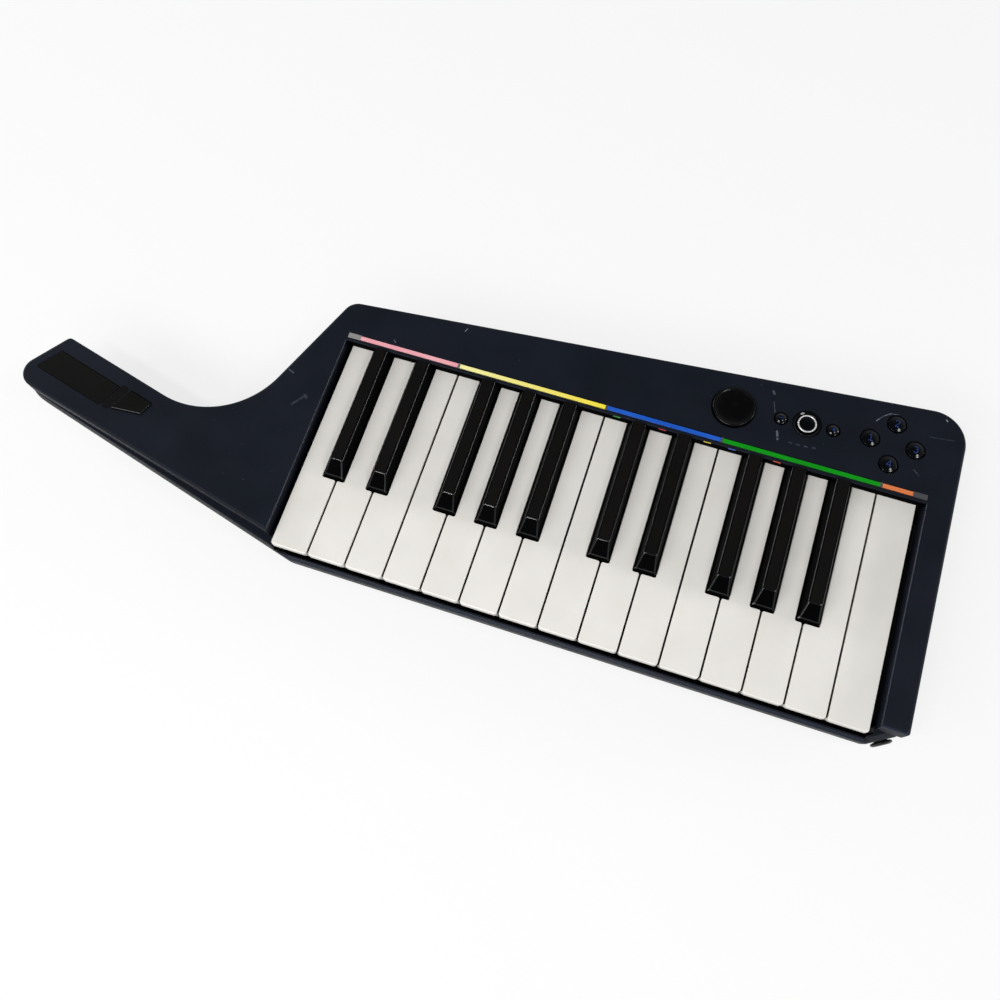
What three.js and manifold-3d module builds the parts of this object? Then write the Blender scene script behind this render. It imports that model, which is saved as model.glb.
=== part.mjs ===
// A keytar: a two-octave keyboard worn on a strap, with a neck that carries a touch strip.
// Millimetres. +X runs along the keys to the high notes, +Y to the rear of the keys, +Z up.
// Pieces are drawn from the front left corner of the keyboard, with z = 0 on the white keys' tops,
// and the finished group is moved so that its origin is the middle of its base.

import * as THREE from "three";
import { mergeVertices } from "three/addons/utils/BufferGeometryUtils.js";
import Module from "manifold-3d";

const wasm = await Module();
wasm.setup();

// Fits shared by every piece
const fit = 0.3; // least gap between two pieces that touch
const overrun = 5; // how far a cutting shape runs past what it cuts
const weld = 0.001; // vertices nearer than this are one

// Facets round turned pieces
const domeSides = 6;
const postSides = 10;
const pegSides = 14;
const roundSides = 18;
const holeSides = 20;
const padSides = 28;
const keyCornerSteps = 2;

// Keyboard
const keyPitch = 23.5; // one white key with its gap
const keyGap = 0.9;
const whiteKeyCount = 15;
const whiteLength = 135.3; // what shows of a white key
const keyDepth = 13; // top of a white key to its lower edge
const keyWall = 1.8;
const keyTopWall = 2.2;
const keyFrontRadius = 1.8;
const lipHeight = 5; // front face of a white key
const lipSetback = 2; // skirt behind that face, below it
const blackFront = 49.2; // front of a black key, from the front of the white keys
const blackWidth = 13.2; // at its foot
const blackTopWidth = 6.4;
const blackShoulderWidth = 9.2;
const blackHeight = 9; // above the white keys
const blackShoulderDrop = 0.9;
const blackSlopeRun = 9.3; // how far the front slopes back
const blackRimHeight = 1.2; // upright foot before the sides lean in
const blackRearGap = 0.6; // rear of a black key to the rear wall of the well
const notchWidth = 14; // room that the white keys leave for a black key
const blackNudge = 2.1; // how far the outer black keys of a group stand off the gap below them
const blackNudgeWide = 2.3; // the same in the group of three

// Key action
const keySwingDegrees = 3.5;
const hiddenKeyLength = 3.7; // key body under the rear panel
const pivotBack = 11.7; // hinge rod behind the end of what shows
const pivotDrop = 8; // hinge rod below the white keys' tops
const bossRadius = 4.5;
const tailWidth = 9;
const tailTopDrop = 1;
const rodRadius = 1.9;
const rodSides = 8;
const plungerBack = 100; // plunger from the front of the keys
const plungerWidth = 6;
const plungerThickness = 3;
const plungerDrop = 17;

// Chassis under the keys
const chassisFloor = 1.5; // thickness
const chassisDrop = 25; // top of its floor below the white keys' tops
const chassisFrontInset = 4.5;
const ribThickness = 2;
const ribRun = 12; // front to rear
const ribTopDrop = 3.2;
const rearBeam = 1.7;
const rearBeamGap = 0.8; // clear of the swinging key tails
const guideWidth = 5;
const guideRun = 8;
const guideBack = 10;
const guideHeight = 13.8;
const boardThickness = 1.6;
const keyBoardRun = 35;
const keyBoardBack = 80;
const domeBase = 1.5;
const domeHeight = 1;
const domeRadius = 3;
const domeStripRun = 14;
const feltRun = 4.8;

// Casing
const wall = 2.5;
const panelHeight = 7; // top panel above the white keys
const topEdgeDrop = 2;
const topEdgeInset = 2;
const edgeMidShare = 0.3; // how much of a rounded edge is left at its middle line
const bodyDepth = 38; // base of the casing below the white keys
const partingDrop = 5; // where the upper casing ends
const wellLeftGap = 2.5; // well wall to the first key
const wellRightGap = 3;
const rearWallLift = 1; // rear wall of the well clear of the keys
const cheekWidth = 15.7; // casing to the right of the well
const cheekFront = 3.9; // front of the cheek, behind the front of the keys
const frontOverhang = 4.1; // front of the lower casing, before the keys
const rearPanelRun = 27.6; // rear wall of the well to the rear edge, measured beside the first key
const rearRiseShare = 0.0926; // how the rear edge runs off to the rear
const hornReach = 73.9; // left edge carried on to the front of the keys
const hornLeanShare = 0.3998;
const neckFrontAtLeft = 4.35; // neck's front edge, measured beside the first key
const neckFrontRiseShare = 0.2397;
const neckRearAtLeft = 42.3;
const neckRearRiseShare = 0.2532;
const neckTipReach = 237.2; // end of the neck carried on to the front of the keys
const neckTipLeanShare = 0.763;
const tipRadius = 10.3;
const tipRearRadius = 3;
const neckBendRadius = 54;
const hornRadius = 10;
const rearRightRadius = 20;
const smallCornerRadius = 1.5;
const cutCornerRadius = 3;

// Lower casing
const lowerNeckFrontAtLeft = -1.2;
const lowerNeckFrontRiseShare = 0.2634;
const lowerFrontRadius = 18;
const lowerSetback = 1.5; // behind the upper casing, on the sides that don't show
const lowerSideSetback = 1;
const cornerCutWidth = 15.2; // cut-off front right corner
const cornerCutRun = 9.1;
const rimSlopeInset = 3.5;
const flankDrop = 12;
const waistDrop = 26;
const waistInset = 1;
const waistFrontInset = 1.5;
const heelDrop = 34;
const heelInset = 3;
const heelFrontInset = 6;
const baseInset = 6;
const baseFrontInset = 8;
const neckBaseDrop = 24; // underside of the neck
const neckRampStart = 62; // left of the first key
const neckRampRun = 33;
const keyRoomFront = 0.9; // room before the keys as they swing
const keyRoomSide = 1.2;
const postRadius = 4;
const frontRailDrop = 8.5;
const frontRailThickness = 2.6;
const frontRailEndGap = 0.5;
const frontRailBevel = 0.8;

// Colour strip behind the keys
const stripGap = 2; // rear wall of the well to the groove
const stripGrooveWidth = 3.6;
const stripGrooveDepth = 1.4;
const stripLeftEnd = 5.8;
const stripRightEnd = 347.2;
const stripDivider = 1.4;
const stripMarks = [3, 7, 10, 14]; // white keys before each divider
const stripColours = ["#e8939b", "#f3e44f", "#2d62c8", "#10a01a", "#e0804a"];
const stripNames = ["red", "yellow", "blue", "green", "orange"];

// Controls on the rear panel
const controlsLeft = 236.6; // round direction pad
const controlsSetback = 26.3; // behind the rear wall of the well
const controlsRiseShare = 0.05;
const padHoleRadius = 13.2;
const padCapRadius = 12.6;
const padCapHeight = 5.2;
const padCapDish = 0.6;
const padCapEdge = 1.2;
const padPivotTopRadius = 3.5;
const padPivotBaseRadius = 5;
const padPivotLift = 2; // tilt centre above the white keys' tops
const minusRun = 28.3; // from the direction pad
const homeRun = 43.6;
const plusRun = 59.1;
const faceRun = 93.7; // centre of the four round buttons
const faceSpread = 13.2;
const faceRadius = 5.6;
const smallButtonRadius = 4;
const homeRadius = 6.2;
const buttonRise = 0.9;
const buttonDome = 0.7;
const buttonCrownShare = 0.8; // how far out the crown of a button reaches
const buttonRoom = 0.4; // round a button in its hole
const buttonFlange = 1.2;
const buttonFlangeThickness = 1.3;

// Touch strip and button on the neck, placed along the neck's rear edge from its tip
const padPocketDepth = 1.4;
const padRearInset = 10.4;
const padFrontInset = 26.6;
const padRearStart = 2.6;
const padFrontStart = -4.3;
const padRearEnd = 50.6;
const padFrontEnd = 46.6;
const neckButtonRearInset = 8.8;
const neckButtonFrontInset = 24.7;
const neckButtonNoseInset = 18.1;
const neckButtonRearStart = 57.7;
const neckButtonFrontStart = 54.2;
const neckButtonEnd = 74.8;
const neckButtonNoseEnd = 73.5;
const neckButtonRise = 0.9;

// Boards, sockets and power
const mainBoardLeft = 213;
const mainBoardSetback = 20.2; // behind the rear wall of the well
const mainBoardRightInset = 19;
const mainBoardRearInset = 7;
const mainBoardTop = 1.6; // below the white keys' tops
const boardPostRadius = 2.5;
const boardPostInset = 4;
const cellLength = 50.5;
const cellRadius = 7.25;
const cellNipple = 1;
const cellNippleRadius = 2.6;
const cellGap = 0.5;
const cellCount = 2;
const bayRight = 5.5; // left of the first key
const bayFront = 22.5;
const bayEndRoom = 2.2;
const doorThickness = 2.2;
const doorTabWidth = 5;
const doorTabReach = 3.5;
const doorTabThickness = 1.7;
const socketBack = 120;
const socketDrop = 20;
const socketBodyWidth = 18;
const socketBodyDepth = 9.5;
const socketBarrelRadius = 8;
const socketRingRadius = 6.8;
const socketCoreRadius = 5.4;
const socketRingDepth = 6;
const socketSetback = 1; // behind the wall's inner face, which leans in

// Strap pegs and feet
const pegBaseRadius = 6;
const pegStemRadius = 3.4;
const pegCapRadius = 6.2;
const pegLength = 7.4;
const pegPlate = 1.4;
const pegNeckHeight = 2.1;
const pegCrownRadius = 5;
const pegCapThickness = 2.6;
const pegDrop = 20;
const frontPegSeatDepth = 5.5; // seat behind the widest line of the wall
const rearPegSeatDepth = 3;
const pegSeatRadius = 6.6;
const pegSeatRim = 0.8;
const frontPegShift = 2; // towards the right of the cut corner's middle
const rearPegAcross = 25;
const footRadius = 6;
const footHeight = 2.5;
const footEdge = 0.6;
const footInset = 18;
const rightFootInset = 28.8;

// Worked-out places
const keyboardWidth = whiteKeyCount * keyPitch;
const wellLeft = -wellLeftGap;
const wellRight = keyboardWidth + wellRightGap;
const bodyRight = wellRight + cheekWidth;
const wellRear = whiteLength;
const rearAtLeft = wellRear + rearPanelRun;
const pivotBackY = whiteLength + pivotBack;
const keyBodyEnd = whiteLength + hiddenKeyLength;
const panelUnder = panelHeight - wall;
const boreRadius = (rodRadius + fit) / Math.cos(Math.PI / rodSides);
const floorTop = wall - bodyDepth;

// Solids

function solid(geometry) {
  const bare = geometry.clone();
  bare.deleteAttribute("normal");
  bare.deleteAttribute("uv");
  const merged = mergeVertices(bare, weld);
  const index = merged.index.array;
  const triVerts = [];
  for (let i = 0; i < index.length; i += 3) {
    const [a, b, c] = [index[i], index[i + 1], index[i + 2]];
    if (a !== b && b !== c && c !== a) triVerts.push(a, b, c);
  }
  const vertProperties = merged.attributes.position.array;
  return new wasm.Manifold(
    new wasm.Mesh({ numProp: 3, vertProperties, triVerts: new Uint32Array(triVerts) }),
  );
}

function geometryOf(manifold) {
  const mesh = manifold.getMesh();
  const geometry = new THREE.BufferGeometry();
  geometry.setAttribute("position", new THREE.BufferAttribute(mesh.vertProperties, 3));
  geometry.setIndex(new THREE.BufferAttribute(mesh.triVerts, 1));
  const flat = geometry.toNonIndexed();
  flat.computeVertexNormals();
  return flat;
}

// A box between two corners.
function slab([x0, y0, z0], [x1, y1, z1]) {
  const box = new THREE.BoxGeometry(x1 - x0, y1 - y0, z1 - z0);
  return solid(box.translate((x0 + x1) / 2, (y0 + y1) / 2, (z0 + z1) / 2));
}

// A plan outline given as [x, y] points, raised from one height to another.
function prism(points, low, high) {
  const shape = new THREE.Shape(points.map(([x, y]) => new THREE.Vector2(x, y)));
  const depth = high - low;
  return solid(new THREE.ExtrudeGeometry(shape, { depth, bevelEnabled: false }).translate(0, 0, low));
}

// A side view given as [y, z] points, drawn across the keys from one x to another.
function acrossKeys(points, from, to) {
  const shape = new THREE.Shape(points.map(([y, z]) => new THREE.Vector2(y, z)));
  const geometry = new THREE.ExtrudeGeometry(shape, { depth: to - from, bevelEnabled: false });
  const [x, y, z] = [new THREE.Vector3(0, 1, 0), new THREE.Vector3(0, 0, 1), new THREE.Vector3(1, 0, 0)];
  return solid(geometry.applyMatrix4(new THREE.Matrix4().makeBasis(x, y, z)).translate(from, 0, 0));
}

// A front view given as [x, z] points, drawn to the rear from one y to another.
function alongKeys(points, from, to) {
  const shape = new THREE.Shape(points.map(([x, z]) => new THREE.Vector2(x, z)));
  const geometry = new THREE.ExtrudeGeometry(shape, { depth: to - from, bevelEnabled: false });
  return solid(geometry.rotateX(Math.PI / 2).translate(0, to, 0));
}

// A turned piece on the Z axis from [radius, height] points that start and end on the axis.
function turned(points, sides) {
  const profile = points.map(([radius, height]) => new THREE.Vector2(radius, height));
  return solid(new THREE.LatheGeometry(profile, sides).rotateX(Math.PI / 2));
}

function cylinder(radius, low, high, sides) {
  return turned([[0, low], [radius, low], [radius, high], [0, high]], sides);
}

function rodAcross(radius, from, to, sides) {
  const rod = new THREE.CylinderGeometry(radius, radius, to - from, sides);
  return solid(rod.rotateZ(-Math.PI / 2).translate((from + to) / 2, pivotBackY, -pivotDrop));
}

// Closed skin through rings of equally many [x, y, z] points, the lowest ring first.
function loft(rings) {
  const count = rings[0].length;
  const position = rings.flat(2);
  const index = [];
  for (let r = 0; r + 1 < rings.length; r += 1) {
    for (let i = 0; i < count; i += 1) {
      const [a, b] = [r * count + i, r * count + ((i + 1) % count)];
      index.push(a, b, b + count, a, b + count, a + count);
    }
  }
  const flat = (ring) => ring.map(([x, y]) => new THREE.Vector2(x, y));
  const cap = (ring) => THREE.ShapeUtils.triangulateShape(flat(ring), []);
  for (const [a, b, c] of cap(rings[0])) index.push(a, c, b);
  const last = (rings.length - 1) * count;
  for (const [a, b, c] of cap(rings[rings.length - 1])) index.push(last + a, last + b, last + c);
  const geometry = new THREE.BufferGeometry();
  geometry.setAttribute("position", new THREE.Float32BufferAttribute(position, 3));
  geometry.setIndex(index);
  return solid(geometry);
}

// Outlines, each a loop of straight edges taken anticlockwise from above

function edgeFrom(point, direction) {
  return { point: new THREE.Vector2(...point), direction: new THREE.Vector2(...direction).normalize() };
}

function inward(edge, inset) {
  const normal = new THREE.Vector2(-edge.direction.y, edge.direction.x);
  return { point: edge.point.clone().addScaledVector(normal, inset), direction: edge.direction };
}

function meet(a, b) {
  const gap = b.point.clone().sub(a.point);
  const run = gap.cross(b.direction) / a.direction.cross(b.direction);
  return a.point.clone().addScaledVector(a.direction, run);
}

// Edges moved in by their insets, their corners rounded: corner i lies between edge i - 1 and edge i.
function ring(outline, insets, height) {
  const points = [];
  const edges = outline.map((corner, i) => inward(corner.edge, insets[i]));
  outline.forEach((corner, i) => {
    const before = edges[(i + edges.length - 1) % edges.length];
    const after = edges[i];
    const place = meet(before, after);
    const turn = before.direction.cross(after.direction);
    const half = Math.abs(Math.atan2(turn, before.direction.dot(after.direction))) / 2;
    const shrink = (insets[(i + edges.length - 1) % edges.length] + insets[i]) / 2;
    const radius = Math.max(corner.radius - Math.sign(turn) * shrink, smallCornerRadius / 2);
    const tangent = radius * Math.tan(half);
    const start = place.clone().addScaledVector(before.direction, -tangent);
    const side = new THREE.Vector2(-before.direction.y, before.direction.x).multiplyScalar(Math.sign(turn));
    const centre = start.clone().addScaledVector(side, radius);
    for (let step = 0; step <= corner.steps; step += 1) {
      const swing = (Math.sign(turn) * 2 * half * step) / corner.steps;
      const point = start.clone().rotateAround(centre, swing);
      points.push([point.x, point.y, height]);
    }
  });
  return points;
}

const frontOf = (y) => edgeFrom([0, y], [1, 0]);
const rightOf = (x) => edgeFrom([x, 0], [0, 1]);
const rearEdge = edgeFrom([0, rearAtLeft], [-1, -rearRiseShare]);
const hornEdge = edgeFrom([-hornReach, 0], [-hornLeanShare, -1]);
const neckRearEdge = edgeFrom([0, neckRearAtLeft], [-1, neckRearRiseShare]);
const neckTipEdge = edgeFrom([-neckTipReach, 0], [-neckTipLeanShare, -1]);
const neckFrontEdge = edgeFrom([0, neckFrontAtLeft], [1, -neckFrontRiseShare]);

// Upper casing: front, right, rear, horn, neck rear, neck tip, neck front
const upperOutline = [
  { edge: frontOf(cheekFront), radius: smallCornerRadius, steps: 2 },
  { edge: rightOf(bodyRight), radius: smallCornerRadius, steps: 2 },
  { edge: rearEdge, radius: rearRightRadius, steps: 5 },
  { edge: hornEdge, radius: hornRadius, steps: 4 },
  { edge: neckRearEdge, radius: neckBendRadius, steps: 8 },
  { edge: neckTipEdge, radius: tipRearRadius, steps: 3 },
  { edge: neckFrontEdge, radius: tipRadius, steps: 5 },
];
const sameAll = (inset) => upperOutline.map(() => inset);

// Lower casing: front, cut corner, right, rear, horn, neck rear, neck tip, neck front
const lowerRight = bodyRight - lowerSideSetback;
const lowerOutline = [
  { edge: frontOf(-frontOverhang), radius: lowerFrontRadius, steps: 4 },
  {
    edge: edgeFrom([lowerRight - cornerCutWidth, -frontOverhang], [cornerCutWidth, cornerCutRun]),
    radius: cutCornerRadius,
    steps: 2,
  },
  { edge: rightOf(lowerRight), radius: smallCornerRadius, steps: 2 },
  { edge: inward(rearEdge, lowerSetback), radius: rearRightRadius - lowerSetback, steps: 5 },
  { edge: inward(hornEdge, lowerSetback), radius: hornRadius - lowerSetback, steps: 4 },
  { edge: inward(neckRearEdge, lowerSetback), radius: neckBendRadius + lowerSetback, steps: 8 },
  { edge: inward(neckTipEdge, lowerSetback), radius: tipRearRadius, steps: 3 },
  { edge: edgeFrom([0, lowerNeckFrontAtLeft], [1, -lowerNeckFrontRiseShare]), radius: tipRadius, steps: 5 },
];

// Insets of the lower casing: the front and the cut corner may lean in more than the other sides.
function lowerInsets(front, sides, neckFront) {
  return [front, front, sides, sides, sides, sides, sides, neckFront];
}
const rimInsets = lowerInsets(rimSlopeInset, 0, waistInset);
const flankInsets = lowerInsets(0, 0, 0);
const waistInsets = lowerInsets(waistFrontInset, waistInset, waistInset);
const heelInsets = lowerInsets(heelFrontInset, heelInset, heelInset);
const baseInsets = lowerInsets(baseFrontInset, baseInset, baseInset);
const thicker = (insets) => insets.map((inset) => inset + wall);

// Where the black keys stand: white keys before each, and how far each stands off the gap there
const blackKeyTable = [
  { name: "c_sharp", whites: 1, nudge: -blackNudge },
  { name: "d_sharp", whites: 2, nudge: blackNudge },
  { name: "f_sharp", whites: 4, nudge: -blackNudgeWide },
  { name: "g_sharp", whites: 5, nudge: 0 },
  { name: "a_sharp", whites: 6, nudge: blackNudgeWide },
];
const whiteNames = ["c", "d", "e", "f", "g", "a", "b"];
const octaves = Math.floor(whiteKeyCount / whiteNames.length);
const blackKeys = Array.from({ length: octaves }, (_, octave) =>
  blackKeyTable.map(({ name, whites, nudge }) => {
    const before = octave * whiteNames.length + whites;
    return { name: `key_${name}_${octave + 1}`, before, centre: before * keyPitch + nudge };
  }),
).flat();
const whiteKeys = Array.from({ length: whiteKeyCount }, (_, i) => {
  const left = blackKeys.find((key) => key.before === i);
  const right = blackKeys.find((key) => key.before === i + 1);
  return {
    name: `key_${whiteNames[i % whiteNames.length]}_${Math.floor(i / whiteNames.length) + 1}`,
    x: i * keyPitch,
    leftEdge: left ? left.centre + notchWidth / 2 - i * keyPitch : keyGap / 2,
    rightEdge: right ? right.centre - notchWidth / 2 - i * keyPitch : keyPitch - keyGap / 2,
  };
});
const tailCentres = [
  ...whiteKeys.map((key) => key.x + (key.leftEdge + key.rightEdge) / 2),
  ...blackKeys.map((key) => key.centre),
].sort((a, b) => a - b);

// Tail, hinge boss and plunger that every key has, drawn around x = 0
function keyWorks() {
  const half = tailWidth / 2;
  const tail = slab(
    [-half, keyBodyEnd - keyWall, -pivotDrop - bossRadius],
    [half, pivotBackY + bossRadius, -tailTopDrop],
  );
  const plunger = slab(
    [-plungerWidth / 2, plungerBack - plungerThickness / 2, -plungerDrop],
    [plungerWidth / 2, plungerBack + plungerThickness / 2, -keyTopWall / 2],
  );
  return tail.add(plunger);
}

const keyBore = rodAcross(boreRadius, -keyPitch, keyPitch, rodSides);

function whiteKeyGeometry({ leftEdge, rightEdge }) {
  const [left, right] = [keyGap / 2, keyPitch - keyGap / 2];
  const notchStart = blackFront - keyGap;
  const corner = (x, turnFrom) =>
    Array.from({ length: keyCornerSteps + 1 }, (_, step) => {
      const angle = turnFrom + (step / keyCornerSteps) * (Math.PI / 2);
      return [x + keyFrontRadius * Math.cos(angle), keyFrontRadius + keyFrontRadius * Math.sin(angle)];
    });
  const outline = [
    ...corner(left + keyFrontRadius, Math.PI),
    ...corner(right - keyFrontRadius, -Math.PI / 2),
  ];
  if (rightEdge < right) outline.push([right, notchStart], [rightEdge, notchStart]);
  outline.push([rightEdge, keyBodyEnd], [leftEdge, keyBodyEnd]);
  if (leftEdge > left) outline.push([leftEdge, notchStart], [left, notchStart]);
  const hollowFront = slab(
    [left + keyWall, lipSetback + keyWall, -keyDepth - overrun],
    [right - keyWall, notchStart - keyWall, -keyTopWall],
  );
  const underLip = slab(
    [left - keyGap, -overrun, -keyDepth - overrun],
    [right + keyGap, lipSetback, -lipHeight],
  );
  const hollowRear = slab(
    [leftEdge + keyWall, notchStart - keyWall * 2, -keyDepth - overrun],
    [rightEdge - keyWall, keyBodyEnd - keyWall, -keyTopWall],
  );
  const works = keyWorks().translate([(leftEdge + rightEdge) / 2, 0, 0]);
  const body = prism(outline, -keyDepth, 0).subtract(hollowFront.add(hollowRear)).subtract(underLip);
  return geometryOf(body.add(works).subtract(keyBore));
}

function blackKeyGeometry() {
  const half = blackWidth / 2;
  const rear = whiteLength - blackRearGap;
  const level = (halfWidth, front, height) => [
    [-halfWidth, front, height],
    [halfWidth, front, height],
    [halfWidth, rear, height],
    [-halfWidth, rear, height],
  ];
  const slopeShare = (blackHeight - blackShoulderDrop - blackRimHeight) / (blackHeight - blackRimHeight);
  const head = loft([
    level(half, blackFront, -keyTopWall),
    level(half, blackFront, blackRimHeight),
    level(blackShoulderWidth / 2, blackFront + blackSlopeRun * slopeShare, blackHeight - blackShoulderDrop),
    level(blackTopWidth / 2, blackFront + blackSlopeRun + blackShoulderDrop, blackHeight),
  ]);
  const foot = slab([-half, blackFront, -keyDepth], [half, keyBodyEnd, 0]);
  const hollow = slab(
    [keyWall - half, blackFront + keyWall, -keyDepth - overrun],
    [half - keyWall, keyBodyEnd - keyWall, -keyTopWall],
  );
  const works = keyWorks();
  return geometryOf(head.add(foot).subtract(hollow).add(works).subtract(keyBore));
}

// Chassis with its ribs, guide posts and rear beam
function chassisGeometry() {
  const floor = -chassisDrop;
  const [left, right] = [wellLeft + fit, wellRight - fit];
  const beamBack = pivotBackY + bossRadius + rearBeamGap;
  const ribFront = beamBack + rearBeam - ribRun;
  let chassis = slab([left, chassisFrontInset, floor - chassisFloor], [right, beamBack + rearBeam, floor]);
  chassis = chassis.add(slab([left, beamBack, floor - weld], [right, beamBack + rearBeam, -ribTopDrop]));
  const between = tailCentres.slice(1).map((centre, i) => (centre + tailCentres[i]) / 2);
  const ribs = [left + ribThickness / 2, ...between.filter((_, i) => i % 2), right - ribThickness / 2];
  for (const x of ribs) {
    const rib = slab(
      [x - ribThickness / 2, ribFront, floor - weld],
      [x + ribThickness / 2, beamBack + weld, -ribTopDrop],
    );
    chassis = chassis.add(rib);
  }
  for (const key of whiteKeys) {
    const x = key.x + keyPitch / 2;
    const post = slab(
      [x - guideWidth / 2, guideBack, floor - weld],
      [x + guideWidth / 2, guideBack + guideRun, floor + guideHeight],
    );
    chassis = chassis.add(post);
  }
  const bore = rodAcross(boreRadius, left - overrun, right + overrun, rodSides);
  return geometryOf(chassis.subtract(bore));
}

function domeStripGeometry() {
  const floor = boardThickness + fit * 2 - chassisDrop;
  const half = domeStripRun / 2;
  const [base, top] = [floor + domeBase, floor + domeBase + domeHeight];
  const dome = turned([[0, floor], [domeRadius, floor], [domeRadius / 2, top], [0, top]], domeSides);
  let strip = slab([keyGap, plungerBack - half, floor], [keyboardWidth - keyGap, plungerBack + half, base]);
  for (const x of tailCentres) strip = strip.add(dome.translate([x, plungerBack, 0]));
  return geometryOf(strip);
}

// Places of the controls, on the line that leaves the direction pad
const controlsBack = wellRear + controlsSetback;
const controlAt = (run) => [controlsLeft + run, controlsBack + run * controlsRiseShare];
const [faceX, faceY] = controlAt(faceRun);
const buttons = [
  { name: "minus_button", at: controlAt(minusRun), radius: smallButtonRadius, colour: "#131418" },
  { name: "home_button", at: controlAt(homeRun), radius: homeRadius, colour: "#c9cbcd" },
  { name: "plus_button", at: controlAt(plusRun), radius: smallButtonRadius, colour: "#131418" },
  { name: "button_1", at: [faceX - faceSpread, faceY], radius: faceRadius, colour: "#131418" },
  { name: "button_2", at: [faceX, faceY + faceSpread], radius: faceRadius, colour: "#131418" },
  { name: "button_3", at: [faceX + faceSpread, faceY], radius: faceRadius, colour: "#131418" },
  { name: "button_4", at: [faceX, faceY - faceSpread], radius: faceRadius, colour: "#131418" },
];

// Places along the neck: a run from the tip's rear corner and an inset from the rear edge
const tipCorner = meet(neckRearEdge, neckTipEdge);
function onNeck(run, inset) {
  const along = neckRearEdge.direction.clone().negate();
  const across = new THREE.Vector2(along.y, -along.x);
  const point = tipCorner.clone().addScaledVector(along, run).addScaledVector(across, inset);
  return [point.x, point.y];
}
function grown(points, by) {
  const edges = points.map(([x, y], i) => {
    const [nextX, nextY] = points[(i + 1) % points.length];
    return inward(edgeFrom([x, y], [nextX - x, nextY - y]), -by);
  });
  return edges.map((edge, i) => meet(edges[(i + edges.length - 1) % edges.length], edge).toArray());
}
const touchStripOutline = [
  onNeck(padRearStart, padRearInset),
  onNeck(padFrontStart, padFrontInset),
  onNeck(padFrontEnd, padFrontInset),
  onNeck(padRearEnd, padRearInset),
];
const neckButtonOutline = [
  onNeck(neckButtonRearStart, neckButtonRearInset),
  onNeck(neckButtonFrontStart, neckButtonFrontInset),
  onNeck(neckButtonNoseEnd, neckButtonNoseInset),
  onNeck(neckButtonEnd, neckButtonRearInset),
];

// Main board, behind the keys under the controls
const rearAt = (x) => rearAtLeft + x * rearRiseShare;
const mainBoardRight = bodyRight - mainBoardRightInset;
const mainBoardFront = wellRear + mainBoardSetback;
const mainBoardOutline = [
  [mainBoardLeft, mainBoardFront],
  [mainBoardRight, mainBoardFront],
  [mainBoardRight, rearAt(mainBoardRight) - mainBoardRearInset],
  [mainBoardLeft, rearAt(mainBoardLeft) - mainBoardRearInset],
];
const boardPostPlaces = [
  [mainBoardLeft + boardPostInset, mainBoardFront + boardPostInset],
  [mainBoardRight - boardPostInset / 2, mainBoardFront + boardPostInset / 2],
  [mainBoardRight - boardPostInset, rearAt(mainBoardRight) - mainBoardRearInset - boardPostInset],
  [mainBoardLeft + boardPostInset, rearAt(mainBoardLeft) - mainBoardRearInset - boardPostInset],
];

const stripFront = wellRear + stripGap;
const stripRear = stripFront + stripGrooveWidth;

function upperHousingGeometry() {
  const low = -partingDrop;
  const outer = loft([
    ring(upperOutline, sameAll(0), low),
    ring(upperOutline, sameAll(0), panelHeight - topEdgeDrop),
    ring(upperOutline, sameAll(topEdgeInset * edgeMidShare), panelHeight - topEdgeDrop * edgeMidShare),
    ring(upperOutline, sameAll(topEdgeInset), panelHeight),
  ]);
  const inner = loft([
    ring(upperOutline, sameAll(wall), low - overrun),
    ring(upperOutline, sameAll(wall), panelUnder),
  ]);
  const frame = slab(
    [wellLeft - wall, -frontOverhang, low],
    [wellRight + wall, wellRear + wall, panelUnder + weld],
  );
  const behind = slab(
    [wellLeft, wellRear - overrun, low - overrun],
    [wellRight, wellRear + wall + overrun, rearWallLift],
  );
  const well = slab([wellLeft, -overrun * 2, low - overrun], [wellRight, wellRear, panelHeight + overrun]);
  let casing = outer.subtract(inner);
  casing = casing.add(frame.intersect(outer)).subtract(behind).subtract(well);
  for (const [x, y] of boardPostPlaces) {
    const post = cylinder(boardPostRadius, fit - mainBoardTop, panelUnder + weld, postSides);
    casing = casing.add(post.translate([x, y, 0]));
  }
  const groove = slab(
    [wellLeft, stripFront, panelHeight - stripGrooveDepth],
    [wellRight, stripRear, panelHeight + overrun],
  );
  casing = casing.subtract(groove);
  const over = panelHeight + overrun;
  const hole = (at, radius, sides) => cylinder(radius, 0, over, sides).translate([...at, 0]);
  casing = casing.subtract(hole(controlAt(0), padHoleRadius, padSides));
  for (const { at, radius } of buttons) casing = casing.subtract(hole(at, radius + buttonRoom, holeSides));
  const padPocket = prism(grown(touchStripOutline, fit), panelHeight - padPocketDepth, over);
  const neckHole = prism(grown(neckButtonOutline, fit), 0, over);
  return geometryOf(casing.subtract(padPocket).subtract(neckHole));
}

// Battery bay in the base, left of the keys, and the door's place in it
const bayLength = cellLength + cellNipple + bayEndRoom * 2;
const bayWidth = cellCount * (cellRadius * 2 + cellGap) + cellGap;
const bayLow = [-bayRight - bayLength, bayFront];
const bayHigh = [-bayRight, bayFront + bayWidth];

const footPlaces = [
  [footInset, footInset],
  [lowerRight - rightFootInset, footInset],
  [footInset, rearAtLeft - footInset],
  [lowerRight - rightFootInset, rearAt(lowerRight) - rightFootInset],
];
const chassisPosts = [0, 1, 2].flatMap((i) => [
  [footInset + (i * (keyboardWidth - footInset * 2)) / 2, keyBoardBack],
  [footInset + (i * (keyboardWidth - footInset * 2)) / 2, pivotBackY],
]);

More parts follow.
